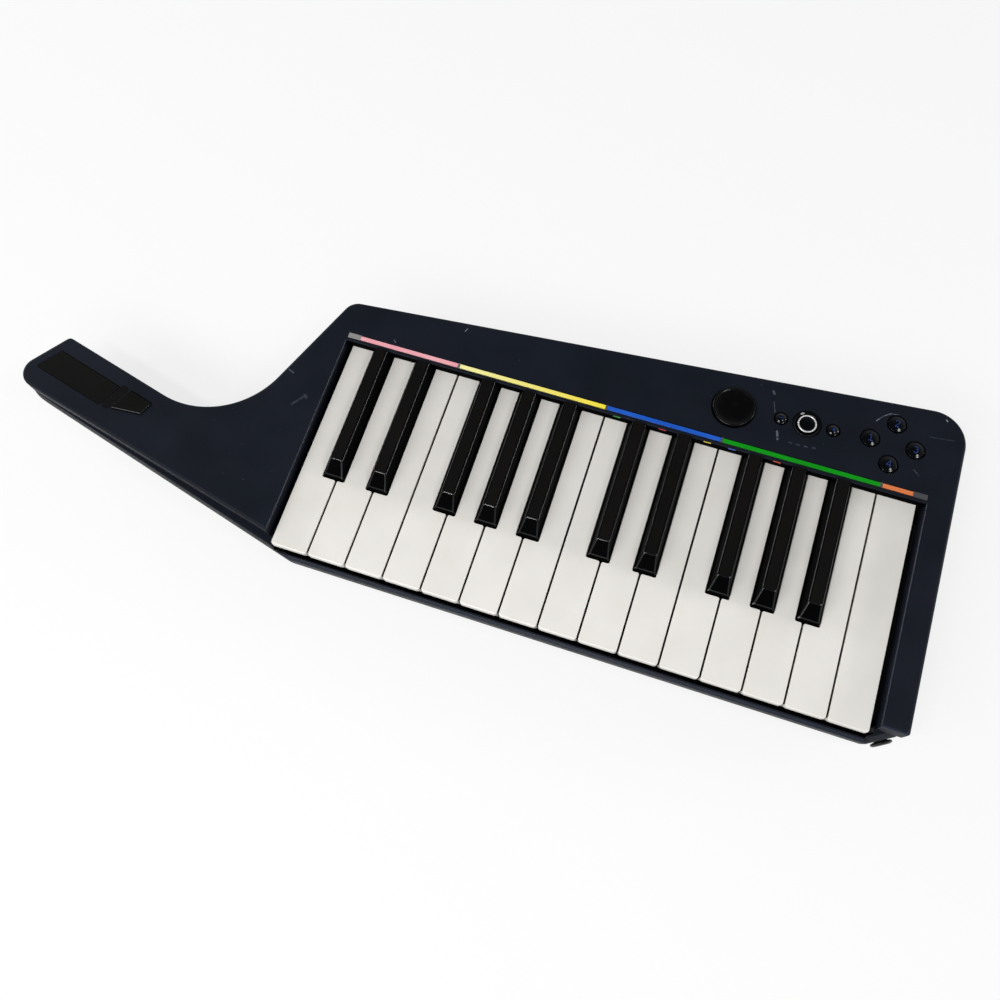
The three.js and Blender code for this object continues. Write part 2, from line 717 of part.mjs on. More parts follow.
// Seats of the strap pegs in the wall: a point on the wall's widest line and the way out of it
const cutCorner = lowerOutline[1].edge;
const cutHalf = Math.hypot(cornerCutWidth, cornerCutRun) / 2;
const pegSeats = [
  { name: "strap_peg_front", edge: inward(cutCorner, frontPegSeatDepth), run: cutHalf + frontPegShift },
  { name: "strap_peg_rear", edge: inward(lowerOutline[3].edge, rearPegSeatDepth), run: -rearPegAcross },
].map(({ name, edge, run }) => {
  const point = edge.point.clone().addScaledVector(edge.direction, run);
  const outward = new THREE.Vector3(edge.direction.y, -edge.direction.x, 0);
  return { name, at: new THREE.Vector3(point.x, point.y, -pegDrop), outward };
});

function drumOutOf({ at, outward }, radius, from, to) {
  const drum = new THREE.CylinderGeometry(radius, radius, to - from, roundSides);
  const turn = new THREE.Quaternion().setFromUnitVectors(new THREE.Vector3(0, 1, 0), outward);
  return solid(drum.translate(0, (from + to) / 2, 0).applyQuaternion(turn).translate(...at.toArray()));
}

function lowerHousingGeometry() {
  const rim = -partingDrop - fit;
  const outer = loft([
    ring(lowerOutline, baseInsets, -bodyDepth),
    ring(lowerOutline, heelInsets, -heelDrop),
    ring(lowerOutline, waistInsets, -waistDrop),
    ring(lowerOutline, flankInsets, -flankDrop),
    ring(lowerOutline, rimInsets, rim),
  ]);
  const inner = loft([
    ring(lowerOutline, thicker(heelInsets), floorTop),
    ring(lowerOutline, thicker(waistInsets), -waistDrop),
    ring(lowerOutline, thicker(flankInsets), -flankDrop),
    ring(lowerOutline, thicker(rimInsets), rim + overrun),
  ]);
  const [rampRight, rampLeft, farLeft] = [-neckRampStart, -neckRampStart - neckRampRun, -neckTipReach];
  const underNeck = (lift) =>
    alongKeys(
      [
        [farLeft, -bodyDepth - overrun],
        [rampRight + lift, -bodyDepth - overrun],
        [rampRight + lift, lift - bodyDepth],
        [rampLeft + lift, lift - neckBaseDrop],
        [farLeft, lift - neckBaseDrop],
      ],
      -frontOverhang,
      rearAtLeft,
    );
  let casing = outer.subtract(underNeck(0)).subtract(inner.subtract(underNeck(wall)));
  for (const [x, y] of chassisPosts) {
    const post = cylinder(postRadius, floorTop - weld, -chassisDrop - chassisFloor - fit, postSides);
    casing = casing.add(post.translate([x, y, 0]));
  }
  const railSeat = slab(
    [frontRailEndGap, -frontOverhang - overrun, -flankDrop - fit],
    [keyboardWidth + frontRailEndGap, wall, rim + overrun],
  );
  const bay = slab([...bayLow, -bodyDepth - overrun], [...bayHigh, floorTop + overrun]);
  const socketRoom = socketBarrelRadius + fit;
  const socketHole = new THREE.CylinderGeometry(socketRoom, socketRoom, overrun * 4, holeSides);
  const socketCut = solid(socketHole.rotateZ(-Math.PI / 2).translate(lowerRight, socketBack, -socketDrop));
  const keyRoom = slab(
    [-keyRoomSide, -keyRoomFront, -chassisDrop - chassisFloor],
    [keyboardWidth + keyRoomSide, chassisFrontInset, rim + overrun],
  );
  casing = casing.subtract(railSeat).subtract(keyRoom).subtract(bay).subtract(socketCut);
  for (const seat of pegSeats) {
    casing = casing.add(drumOutOf(seat, pegSeatRadius + pegSeatRim, -wall, 0));
    casing = casing.subtract(drumOutOf(seat, pegSeatRadius, 0, overrun * 2));
  }
  return geometryOf(casing);
}

function frontRailGeometry() {
  const [low, high] = [-flankDrop, -frontRailDrop];
  const [front, back] = [-frontOverhang, frontRailThickness - frontOverhang];
  const profile = [
    [front, low],
    [back, low],
    [back, high],
    [front + frontRailBevel, high],
    [front, high - frontRailBevel],
  ];
  return geometryOf(acrossKeys(profile, frontRailEndGap + fit, keyboardWidth + frontRailEndGap - fit));
}

function batteryDoorGeometry() {
  const [left, front] = [bayLow[0] + fit, bayLow[1] + fit];
  const [right, back] = [bayHigh[0] - fit, bayHigh[1] - fit];
  const base = -bodyDepth;
  const door = slab([left, front, base], [right, back, base + doorThickness]);
  const middle = (front + back) / 2;
  const [tabLow, tabHigh] = [base + wall + fit, base + wall + fit + doorTabThickness];
  const tab = alongKeys(
    [
      [right - doorTabReach, base + doorThickness - weld],
      [right - weld, base + doorThickness - weld],
      [right - weld, tabLow],
      [right + doorTabReach, tabLow],
      [right + doorTabReach, tabHigh],
      [right - doorTabReach, tabHigh],
    ],
    middle - doorTabWidth / 2,
    middle + doorTabWidth / 2,
  );
  return geometryOf(door.add(tab));
}

function cellGeometry() {
  const profile = [
    [0, 0],
    [cellRadius, 0],
    [cellRadius, cellLength - cellNipple],
    [cellNippleRadius, cellLength - cellNipple],
    [cellNippleRadius, cellLength],
    [0, cellLength],
  ];
  return geometryOf(turned(profile, pegSides));
}

function buttonGeometry(radius) {
  const flangeTop = panelUnder - fit;
  const top = panelHeight + buttonRise;
  const profile = [
    [0, flangeTop - buttonFlangeThickness],
    [radius + buttonFlange, flangeTop - buttonFlangeThickness],
    [radius + buttonFlange, flangeTop],
    [radius, flangeTop],
    [radius, top - buttonDome],
    [radius * buttonCrownShare, top - buttonDome * edgeMidShare],
    [0, top],
  ];
  return geometryOf(turned(profile, roundSides));
}

function padCapGeometry() {
  const low = padPivotLift + fit / 2;
  const top = low + padCapHeight + padCapEdge;
  const profile = [
    [0, low],
    [padCapRadius - padCapEdge, low],
    [padCapRadius, low + padCapEdge],
    [padCapRadius, top - padCapEdge],
    [padCapRadius - padCapEdge, top],
    [padCapRadius / 2, top - padCapDish],
    [0, top - padCapDish],
  ];
  return geometryOf(turned(profile, padSides));
}

function padPivotGeometry() {
  const profile = [
    [0, fit * 2 - mainBoardTop],
    [padPivotBaseRadius, fit * 2 - mainBoardTop],
    [padPivotTopRadius, padPivotLift - fit / 2],
    [0, padPivotLift - fit / 2],
  ];
  return geometryOf(turned(profile, roundSides));
}

function neckButtonGeometry() {
  const flangeTop = panelUnder - fit;
  const flangeLow = flangeTop - buttonFlangeThickness;
  const cap = prism(neckButtonOutline, flangeLow, panelHeight + neckButtonRise);
  const flange = prism(grown(neckButtonOutline, buttonFlange), flangeLow, flangeTop);
  return geometryOf(cap.add(flange));
}

function socketGeometry() {
  const half = socketBodyWidth / 2;
  const face = lowerRight - lowerSideSetback;
  const back = face - wall - socketSetback - socketBodyDepth;
  const body = slab([back, -half, -half], [back + socketBodyDepth, half, half]);
  const drum = (radius, from, to) => {
    const turnedDrum = new THREE.CylinderGeometry(radius, radius, to - from, roundSides);
    return solid(turnedDrum.rotateZ(-Math.PI / 2).translate((from + to) / 2, 0, 0));
  };
  const core = drum(socketCoreRadius, face - socketRingDepth - overrun, face + overrun * 2);
  const ringCut = drum(socketRingRadius, face - socketRingDepth, face + overrun).subtract(core);
  return geometryOf(body.add(drum(socketBarrelRadius, back + fit, face)).subtract(ringCut));
}

function pegGeometry() {
  const profile = [
    [0, 0],
    [pegBaseRadius, 0],
    [pegBaseRadius - pegPlate / 2, pegPlate],
    [pegStemRadius, pegNeckHeight],
    [pegStemRadius, pegLength - pegCapThickness],
    [pegCapRadius, pegLength - pegCapThickness / 2],
    [pegCrownRadius, pegLength],
    [0, pegLength],
  ];
  return geometryOf(turned(profile, pegSides));
}

function footGeometry() {
  const profile = [
    [0, 0],
    [footRadius - footEdge, 0],
    [footRadius, footEdge],
    [footRadius, footHeight],
    [0, footHeight],
  ];
  return geometryOf(turned(profile, roundSides));
}

// The assembled instrument

const keytar = new THREE.Group();

function place(parent, name, geometry, color, roughness, metalness = 0) {
  const mesh = new THREE.Mesh(geometry, new THREE.MeshStandardMaterial({ color, roughness, metalness }));
  mesh.name = name;
  parent.add(mesh);
  return mesh;
}

const casing = new THREE.Group();
keytar.add(casing);
place(casing, "upper_housing", upperHousingGeometry(), "#1b2131", 0.55);
place(casing, "lower_housing", lowerHousingGeometry(), "#2b2d2c", 0.6);
place(casing, "front_rail", frontRailGeometry(), "#1b2131", 0.55);
place(casing, "battery_door", batteryDoorGeometry(), "#2b2d2c", 0.6);

for (const [i, [x, y]] of footPlaces.entries()) {
  const foot = place(casing, `foot_${i + 1}`, footGeometry(), "#141414", 0.9);
  foot.position.set(x, y, -bodyDepth - fit - footHeight);
}

for (const { name, at, outward } of pegSeats) {
  const peg = place(casing, name, pegGeometry(), "#17181a", 0.35, 0.2);
  peg.quaternion.setFromUnitVectors(new THREE.Vector3(0, 0, 1), outward);
  peg.position.copy(at).addScaledVector(outward, fit);
}

const strip = new THREE.Group();
keytar.add(strip);
const stripStarts = [stripLeftEnd, ...stripMarks.map((mark) => mark * keyPitch + stripDivider / 2)];
const stripEnds = [...stripMarks.map((mark) => mark * keyPitch - stripDivider / 2), stripRightEnd];
for (const [i, name] of stripNames.entries()) {
  const bar = slab(
    [stripStarts[i], stripFront + fit, panelHeight - stripGrooveDepth + fit],
    [stripEnds[i], stripRear - fit, panelHeight],
  );
  place(strip, `colour_strip_${name}`, geometryOf(bar), stripColours[i], 0.35);
}

const neck = new THREE.Group();
keytar.add(neck);
const touchStrip = prism(touchStripOutline, panelHeight - padPocketDepth + fit, panelHeight);
place(neck, "touch_strip", geometryOf(touchStrip), "#1d1d1c", 0.7);
place(neck, "neck_button", neckButtonGeometry(), "#1d1d1c", 0.6);

const controls = new THREE.Group();
keytar.add(controls);
for (const { name, at, radius, colour } of buttons) {
  const button = place(controls, name, buttonGeometry(radius), colour, 0.2);
  button.position.set(at[0], at[1], 0);
}
for (const [name, geometry, colour] of [
  ["dpad_cap", padCapGeometry(), "#121215"],
  ["dpad_pivot", padPivotGeometry(), "#3a3a3a"],
]) {
  const piece = place(controls, name, geometry, colour, 0.3);
  piece.position.set(...controlAt(0), 0);
}

const inside = new THREE.Group();
keytar.add(inside);
const boardLow = -mainBoardTop - boardThickness;
place(inside, "main_board", geometryOf(prism(mainBoardOutline, boardLow, -mainBoardTop)), "#1f5a34", 0.5);
place(inside, "key_chassis", chassisGeometry(), "#3b3c3e", 0.7);
const rod = rodAcross(rodRadius, wellLeft + fit * 2, wellRight - fit * 2, rodSides);
place(inside, "hinge_rod", geometryOf(rod), "#b9bbbd", 0.3, 1);
const keyBoard = slab(
  [keyGap, keyBoardBack, fit - chassisDrop],
  [keyboardWidth - keyGap, keyBoardBack + keyBoardRun, fit + boardThickness - chassisDrop],
);
place(inside, "key_contact_board", geometryOf(keyBoard), "#1f5a34", 0.5);
place(inside, "dome_strip", domeStripGeometry(), "#6d6f72", 0.8);
const pressedEdge = keyDepth + Math.sin(THREE.MathUtils.degToRad(keySwingDegrees)) * pivotBackY;
const felt = slab(
  [keyGap, chassisFrontInset + fit, fit - chassisDrop],
  [keyboardWidth - keyGap, chassisFrontInset + fit + feltRun, -pressedEdge - fit],
);
place(inside, "key_stop_felt", geometryOf(felt), "#6e2025", 0.95);
const socket = place(inside, "midi_socket", socketGeometry(), "#1a1a1b", 0.5);
socket.position.set(0, socketBack, -socketDrop);
for (let i = 0; i < cellCount; i += 1) {
  const cell = place(inside, `battery_${i + 1}`, cellGeometry(), "#b3862f", 0.35, 0.6);
  const y = bayFront + cellGap + cellRadius + i * (cellRadius * 2 + cellGap);
  cell.rotation.y = Math.PI / 2;
  cell.position.set(bayLow[0] + bayEndRoom, y, floorTop + cellRadius);
}

const keyboard = new THREE.Group();
keytar.add(keyboard);
for (const key of whiteKeys) {
  place(keyboard, key.name, whiteKeyGeometry(key), "#e4e1da", 0.3).position.x = key.x;
}
for (const key of blackKeys) {
  place(keyboard, key.name, blackKeyGeometry(), "#1b1a19", 0.3).position.x = key.centre;
}

const box = new THREE.Box3().setFromObject(keytar);
keytar.position.set(-(box.min.x + box.max.x) / 2, -(box.min.y + box.max.y) / 2, -box.min.z);

export default keytar;
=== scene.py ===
"""Looks of a two-octave keytar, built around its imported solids.

Pieces are drawn in millimetres from the front left corner of the keyboard, with z = 0 on the white keys'
tops, +x to the high notes and +y to the rear. Shop.finish moves a finished mesh into the frame's metres.
"""

import logging
import math
from dataclasses import dataclass
from enum import Enum
from typing import Callable, Sequence

import bmesh
import bpy
from mathutils import Matrix, Vector


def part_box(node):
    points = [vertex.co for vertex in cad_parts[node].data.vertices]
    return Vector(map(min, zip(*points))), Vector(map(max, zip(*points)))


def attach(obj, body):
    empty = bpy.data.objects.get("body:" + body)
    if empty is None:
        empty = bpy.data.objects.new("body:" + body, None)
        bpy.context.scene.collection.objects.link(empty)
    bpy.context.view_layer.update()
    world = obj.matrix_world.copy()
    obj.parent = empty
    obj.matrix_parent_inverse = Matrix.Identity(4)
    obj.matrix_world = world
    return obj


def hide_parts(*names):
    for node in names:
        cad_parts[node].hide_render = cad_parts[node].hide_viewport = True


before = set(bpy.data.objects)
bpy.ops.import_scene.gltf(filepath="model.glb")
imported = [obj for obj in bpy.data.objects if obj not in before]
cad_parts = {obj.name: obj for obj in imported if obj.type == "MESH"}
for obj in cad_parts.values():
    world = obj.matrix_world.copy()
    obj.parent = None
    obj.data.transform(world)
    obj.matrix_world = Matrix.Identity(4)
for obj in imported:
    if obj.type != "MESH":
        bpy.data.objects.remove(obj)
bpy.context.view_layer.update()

LOG = logging.getLogger("keytar")
MM = 0.001
WELD = 0.0005  # vertices nearer than this are one
OVERRUN = 6.0  # how far a cutting shape runs past what it cuts
FAR = 400.0  # past every end of the casing
QUARTER = math.pi / 2

Point = tuple[float, float]
Point3 = tuple[float, float, float]
Row = tuple[float, ...]
Solid = bmesh.types.BMesh
Face = bmesh.types.BMFace
MeshEdge = bmesh.types.BMEdge
Tree = bpy.types.NodeTree
Output = bpy.types.NodeSocket

# Turn a drawn side view, or a front view, so that it runs along the keyboard, or along the keys
ACROSS_KEYS = Matrix(((0, 0, 1, 0), (1, 0, 0, 0), (0, 1, 0, 0), (0, 0, 0, 1)))
ALONG_KEYS = Matrix(((1, 0, 0, 0), (0, 0, -1, 0), (0, 1, 0, 0), (0, 0, 0, 1)))


@dataclass(frozen=True)
class Keyboard:
    """Sizes that the casing and the keys share."""

    pitch: float = 23.5
    gap: float = 0.9
    white_count: int = 15
    white_length: float = 135.3
    well_left: float = -2.5
    well_right: float = 355.5
    panel: float = 7.0
    wall: float = 2.5

    @property
    def width(self) -> float:
        """Width of all the white keys."""
        return self.pitch * self.white_count


KEYS = Keyboard()


def frame_place() -> Matrix:
    """Matrix from the drawing's millimetres to the frame's metres, found from the lowest key's box."""
    low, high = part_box("key_c_1")
    origin = Vector((low.x - KEYS.gap / 2 * MM, low.y, high.z))
    return Matrix.Translation(origin) @ Matrix.Scale(MM, 4)


def quarter_round(radius: float, steps: int) -> list[Point]:
    """Inset and drop of each step of a quarter circle, from its foot to its crown.

    Args:
        radius: Radius of the rounding.
        steps: How many straight steps it has.

    Returns:
        Pairs of how far in and how far below the crown each step lies.
    """
    turns = [QUARTER * step / steps for step in range(steps + 1)]
    return [(radius * (1 - math.cos(turn)), radius * (1 - math.sin(turn))) for turn in turns]


def block(low: Point3, high: Point3) -> Solid:
    """Box between two corners."""
    solid = bmesh.new()
    size = Vector(high) - Vector(low)
    place = Matrix.Translation((Vector(low) + Vector(high)) / 2) @ Matrix.Diagonal((*size, 1.0))
    bmesh.ops.create_cube(solid, size=1.0, matrix=place)
    return solid


def lofted(rings: Sequence[Sequence[Point3]]) -> Solid:
    """Closed body through rings of equally many points, made by extruding the first one.

    Args:
        rings: Rings of points, the lowest first, each anticlockwise from above.

    Returns:
        The body, with its faces turned outwards.
    """
    solid = bmesh.new()
    number = solid.verts.layers.int.new("number")
    start = [solid.verts.new(place) for place in rings[0]]
    for count, vert in enumerate(start):
        vert[number] = count
    top = solid.faces.new(start)
    for count, ring in enumerate(rings[1:]):
        below = top
        raised = bmesh.ops.extrude_face_region(solid, geom=[below])
        top = next(item for item in raised["geom"] if isinstance(item, Face))
        if count:
            bmesh.ops.delete(solid, geom=[below], context="FACES_ONLY")
        for vert in top.verts:
            vert.co = ring[vert[number]]
    bmesh.ops.recalc_face_normals(solid, faces=solid.faces)
    return solid


def rectangle(left: float, low: float, right: float, high: float) -> list[Point]:
    """Corners of a rectangle, anticlockwise from the lower left."""
    return [(left, low), (right, low), (right, high), (left, high)]


def prism(points: Sequence[Point], low: float, high: float) -> Solid:
    """Plan outline raised from one height to another."""
    return lofted([[(x, y, z) for x, y in points] for z in (low, high)])


def turned(profile: Sequence[Point], steps: int, closed: bool = False) -> Solid:
    """Body spun about the Z axis.

    Args:
        profile: Pairs of radius and height that start and end on the axis, or a loop that keeps off it.
        steps: How many steps the full turn has.
        closed: Whether the profile is such a loop.

    Returns:
        The closed body.
    """
    solid = bmesh.new()
    verts = [solid.verts.new((radius, 0.0, height)) for radius, height in profile]
    ends = verts[1:] + verts[:1] if closed else verts[1:]
    edges = [solid.edges.new(pair) for pair in zip(verts, ends)]
    bmesh.ops.spin(
        solid, geom=[*verts, *edges], cent=(0, 0, 0), axis=(0, 0, 1), angle=math.tau, steps=steps,
        use_merge=True,
    )
    bmesh.ops.remove_doubles(solid, verts=solid.verts, dist=WELD)
    bmesh.ops.recalc_face_normals(solid, faces=solid.faces)
    return solid


def cylinder(radius: float, low: float, high: float, steps: int) -> Solid:
    """Round bar on the Z axis, between two heights."""
    return turned([(0.0, low), (radius, low), (radius, high), (0.0, high)], steps)


def moved(solid: Solid, place: Matrix | Point3) -> Solid:
    """The body moved by a matrix or by a step."""
    matrix = place if isinstance(place, Matrix) else Matrix.Translation(place)
    bmesh.ops.transform(solid, matrix=matrix, verts=solid.verts)
    return solid


def joined(*solids: Solid) -> Solid:
    """Several bodies side by side in one mesh, which takes in the others."""
    for other in solids[1:]:
        carrier = bpy.data.meshes.new("carrier")
        other.to_mesh(carrier)
        solids[0].from_mesh(carrier)
        bpy.data.meshes.remove(carrier)
        other.free()
    return solids[0]


def bevelled(solid: Solid, chosen: Callable[[MeshEdge], bool], offset: float, segments: int) -> Solid:
    """Rounds the edges that a test chooses.

    Args:
        solid: The body to round.
        chosen: Says of an edge whether it is rounded.
        offset: How far the rounding reaches from the edge.
        segments: How many steps the rounding has.

    Returns:
        The same body.
    """
    edges = [edge for edge in solid.edges if chosen(edge)]
    bmesh.ops.bevel(
        solid, geom=edges, offset=offset, offset_type="OFFSET", affect="EDGES", segments=segments,
        profile=0.5, material=-1, clamp_overlap=True,
    )
    return solid


def crease(edge: MeshEdge) -> float:
    """Angle between the two faces of an edge, in degrees."""
    return math.degrees(edge.calc_face_angle(0.0))


def level(edge: MeshEdge, height: float) -> bool:
    """Whether both ends of an edge lie at a height."""
    return all(abs(vert.co.z - height) < WELD * 4 for vert in edge.verts)


class Cut(Enum):
    """What a boolean does with its second body."""

    TAKE = "DIFFERENCE"
    ADD = "UNION"
    KEEP = "INTERSECT"


def boolean(solid: Solid, tool: Solid, kind: Cut = Cut.TAKE) -> Solid:
    """Cuts or joins one body with another.

    Args:
        solid: The body that is changed, which is freed.
        tool: The body that changes it, which is freed.
        kind: What is done.

    Returns:
        The new body.
    """
    objects = []
    for number, part in enumerate((solid, tool)):
        mesh = bpy.data.meshes.new(f"boolean_{number}")
        part.to_mesh(mesh)
        part.free()
        thing = bpy.data.objects.new(mesh.name, mesh)
        bpy.context.scene.collection.objects.link(thing)
        objects.append(thing)
    modifier = objects[0].modifiers.new("boolean", "BOOLEAN")
    modifier.operation = kind.value
    modifier.solver = "EXACT"
    modifier.object = objects[1]
    depsgraph = bpy.context.evaluated_depsgraph_get()
    result = bmesh.new()
    result.from_object(objects[0], depsgraph)
    for thing in objects:
        mesh = thing.data
        bpy.data.objects.remove(thing)
        bpy.data.meshes.remove(mesh)
    bmesh.ops.remove_doubles(result, verts=result.verts, dist=WELD)
    return result


@dataclass(frozen=True)
class Edge:
    """A straight edge of an outline, drawn anticlockwise from above."""

    x: float
    y: float
    run: float
    rise: float

    def inward(self, inset: float) -> "Edge":
        """The same edge moved in by an inset."""
        normal = Vector((-self.rise, self.run)).normalized()
        return Edge(self.x + normal.x * inset, self.y + normal.y * inset, self.run, self.rise)

    def along(self) -> Vector:
        """The edge's direction."""
        return Vector((self.run, self.rise)).normalized()

    def meet(self, other: "Edge") -> Vector:
        """The point where two edges cross."""
        gap = Vector((other.x - self.x, other.y - self.y))
        way, turn = self.along(), other.along()
        return Vector((self.x, self.y)) + way * (gap.cross(turn) / way.cross(turn))


@dataclass(frozen=True)
class Corner:
    """The corner before an edge of an outline, with its radius."""

    edge: Edge
    radius: float


@dataclass(frozen=True)
class Outline:
    """A loop of straight edges with rounded corners."""

    corners: tuple[Corner, ...]
    chord: float = 1.2
    least_radius: float = 0.75

    def ring(self, insets: Sequence[float] | float, height: float) -> list[Point3]:
        """Points of the loop, moved in from its edges.

        Args:
            insets: How far each edge moves in, or one number for all.
            height: The ring's height.

        Returns:
            As many points for every inset.
        """
        steps_in = [insets] * len(self.corners) if isinstance(insets, (int, float)) else list(insets)
        edges = [corner.edge.inward(inset) for corner, inset in zip(self.corners, steps_in)]
        points: list[Point3] = []
        for number, corner in enumerate(self.corners):
            before, after = edges[number - 1], edges[number]
            turn = math.atan2(before.along().cross(after.along()), before.along().dot(after.along()))
            side = math.copysign(1.0, turn)
            shrink = (steps_in[number - 1] + steps_in[number]) / 2
            radius = max(corner.radius - side * shrink, self.least_radius)
            start = before.meet(after) - before.along() * radius * math.tan(abs(turn) / 2)
            centre = start + Vector((-before.along().y, before.along().x)) * side * radius
            steps = max(3, math.ceil(abs(turn) * corner.radius / self.chord))
            for step in range(steps + 1):
                spoke = (start - centre).copy()
                spoke.rotate(Matrix.Rotation(turn * step / steps, 2))
                points.append((centre.x + spoke.x, centre.y + spoke.y, height))
        return points

    def crown(self, radius: float, top: float, steps: int) -> list[list[Point3]]:
        """Rings of a rounded upper edge, the lowest first."""
        return [self.ring(inset, top - drop) for inset, drop in quarter_round(radius, steps)]


def looped(points: Sequence[Point], radii: Sequence[float], chord: float, least_radius: float) -> Outline:
    """Outline through corner points.

    Args:
        points: The corners, anticlockwise.
        radii: Radius of each corner.
        chord: Length of the steps round a corner.
        least_radius: Radius that an inset leaves.

    Returns:
        The outline.
    """
    starts = list(points)
    ends = starts[1:] + starts[:1]
    edges = [Edge(*start, end[0] - start[0], end[1] - start[1]) for start, end in zip(starts, ends)]
    return Outline(tuple(Corner(edge, radius) for edge, radius in zip(edges, radii)), chord, least_radius)


def corners_of(points: Sequence[Point], radius: float) -> Outline:
    """Outline through corner points with one radius."""
    return looped(points, [radius] * len(points), 0.3, radius * 0.6)


def srgb(colour: str) -> tuple[float, float, float, float]:
    """Linear colour of an sRGB hex value such as #1a2130."""
    parts = [int(colour[start:start + 2], 16) / 255 for start in (1, 3, 5)]
    linear = [part / 12.92 if part <= 0.04045 else ((part + 0.055) / 1.055) ** 2.4 for part in parts]
    return (linear[0], linear[1], linear[2], 1.0)


FIRST, SECOND, COLOUR = 6, 7, 2  # a Mix node's two colour inputs and its colour output


def add_node(
    tree: Tree, kind: str, inputs: dict[str | int, object] | Sequence[object] = (), result: str | int = 0,
    **settings: object,
) -> Output | None:
    """Adds a node to a tree.

    Args:
        tree: The node tree.
        kind: The node's type, without its ShaderNode.
        inputs: For each input a value, a hex colour or the output that feeds it, by name or in their order.
        result: The output that is wanted.
        settings: The node's own properties.

    Returns:
        That output, or nothing where the node has none.
    """
    node = tree.nodes.new(f"ShaderNode{kind}")
    for name, value in settings.items():
        setattr(node, name, value)
    for socket, value in inputs.items() if isinstance(inputs, dict) else enumerate(inputs):
        if isinstance(value, Output):
            tree.links.new(value, node.inputs[socket])
        else:
            node.inputs[socket].default_value = srgb(value) if isinstance(value, str) else value
    return node.outputs[result] if node.outputs else None


def patches(
    tree: Tree, place: Output, size_mm: float, span: Point = (0.0, 1.0), result: Point = (0.0, 1.0),
    detail: float = 3.0,
) -> Output:
    """Soft patches all over a surface.

    Args:
        tree: The node tree.
        place: The point on the surface.
        size_mm: About how wide a patch is.
        span: The part of the noise that counts.
        result: What its ends become.
        detail: How ragged the patches are.

    Returns:
        The patches' value.
    """
    cloud = add_node(tree, "TexNoise", {"Vector": place, "Scale": 1 / (size_mm * MM), "Detail": detail})
    return add_node(tree, "MapRange", [cloud, *span, *result])


def graded(tree: Tree, place: Output, axis: str, start: float, end: float) -> Output:
    """Share from 0 to 1 between two places along an axis of the drawing."""
    along = add_node(tree, "SeparateXYZ", [place], axis)
    ends = [getattr(frame_place() @ Vector((spot, spot, spot)), axis.lower()) for spot in (start, end)]
    return add_node(tree, "MapRange", [along, *ends])


MADE: dict["Finish", bpy.types.Material] = {}


@dataclass(frozen=True)
class Finish:
    """A plain moulding: faint colour patches, hand smudges in its gloss and a fine moulded grain."""

    name: str
    colour: str
    patch_colour: str
    gloss_low: float = 0.4
    gloss_high: float = 0.5
    patch_mm: float = 45.0
    smudge_mm: float = 22.0
    grain_mm: float = 1.1
    grain_depth_mm: float = 0.012
    ior: float = 1.5
    metallic: float = 0.0
    coat: float = 0.0
    coat_roughness: float = 0.08
    sheen: float = 0.0

    def material(self) -> bpy.types.Material:
        """The finish's material, made once."""
        if self in MADE:
            return MADE[self]
        made = MADE[self] = bpy.data.materials.new(self.name)
        made.use_nodes = True
        tree = made.node_tree
        tree.nodes.clear()
        place = add_node(tree, "TexCoord", result="Object")
        grain = {"Height": self.height(tree, place), "Distance": self.grain_depth_mm * MM, "Strength": 1.0}
        inputs = {
            "Base Color": self.tint(tree, place),
            "Roughness": self.gloss(tree, place),
            "Normal": add_node(tree, "Bump", grain),
            "IOR": self.ior,
            "Metallic": self.metallic,
            "Coat Weight": self.coat,
            "Coat Roughness": self.coat_roughness,
            "Sheen Weight": self.sheen,
        }
        add_node(tree, "OutputMaterial", [add_node(tree, "BsdfPrincipled", inputs)])
        made.diffuse_color = srgb(self.colour)
        return made

    def tint(self, tree: Tree, place: Output) -> Output:
        """Colour with faint patches."""
        share = patches(tree, place, self.patch_mm, (0.35, 0.65))
        inputs = {0: share, FIRST: self.colour, SECOND: self.patch_colour}
        return add_node(tree, "Mix", inputs, COLOUR, data_type="RGBA")

    def gloss(self, tree: Tree, place: Output) -> Output:
        """Roughness, uneven from handling."""
        return patches(tree, place, self.smudge_mm, (0.3, 0.7), (self.gloss_low, self.gloss_high))

    def height(self, tree: Tree, place: Output) -> Output:
        """Height of the surface's grain, from 0 to 1."""
        return patches(tree, place, self.grain_mm, detail=2.0)


@dataclass(frozen=True)
class Scratch:
    """A straight scratch in a surface, in the drawing's millimetres."""

    start: Point3
    end: Point3
    width: float
    strength: float
    feather: float = 0.5


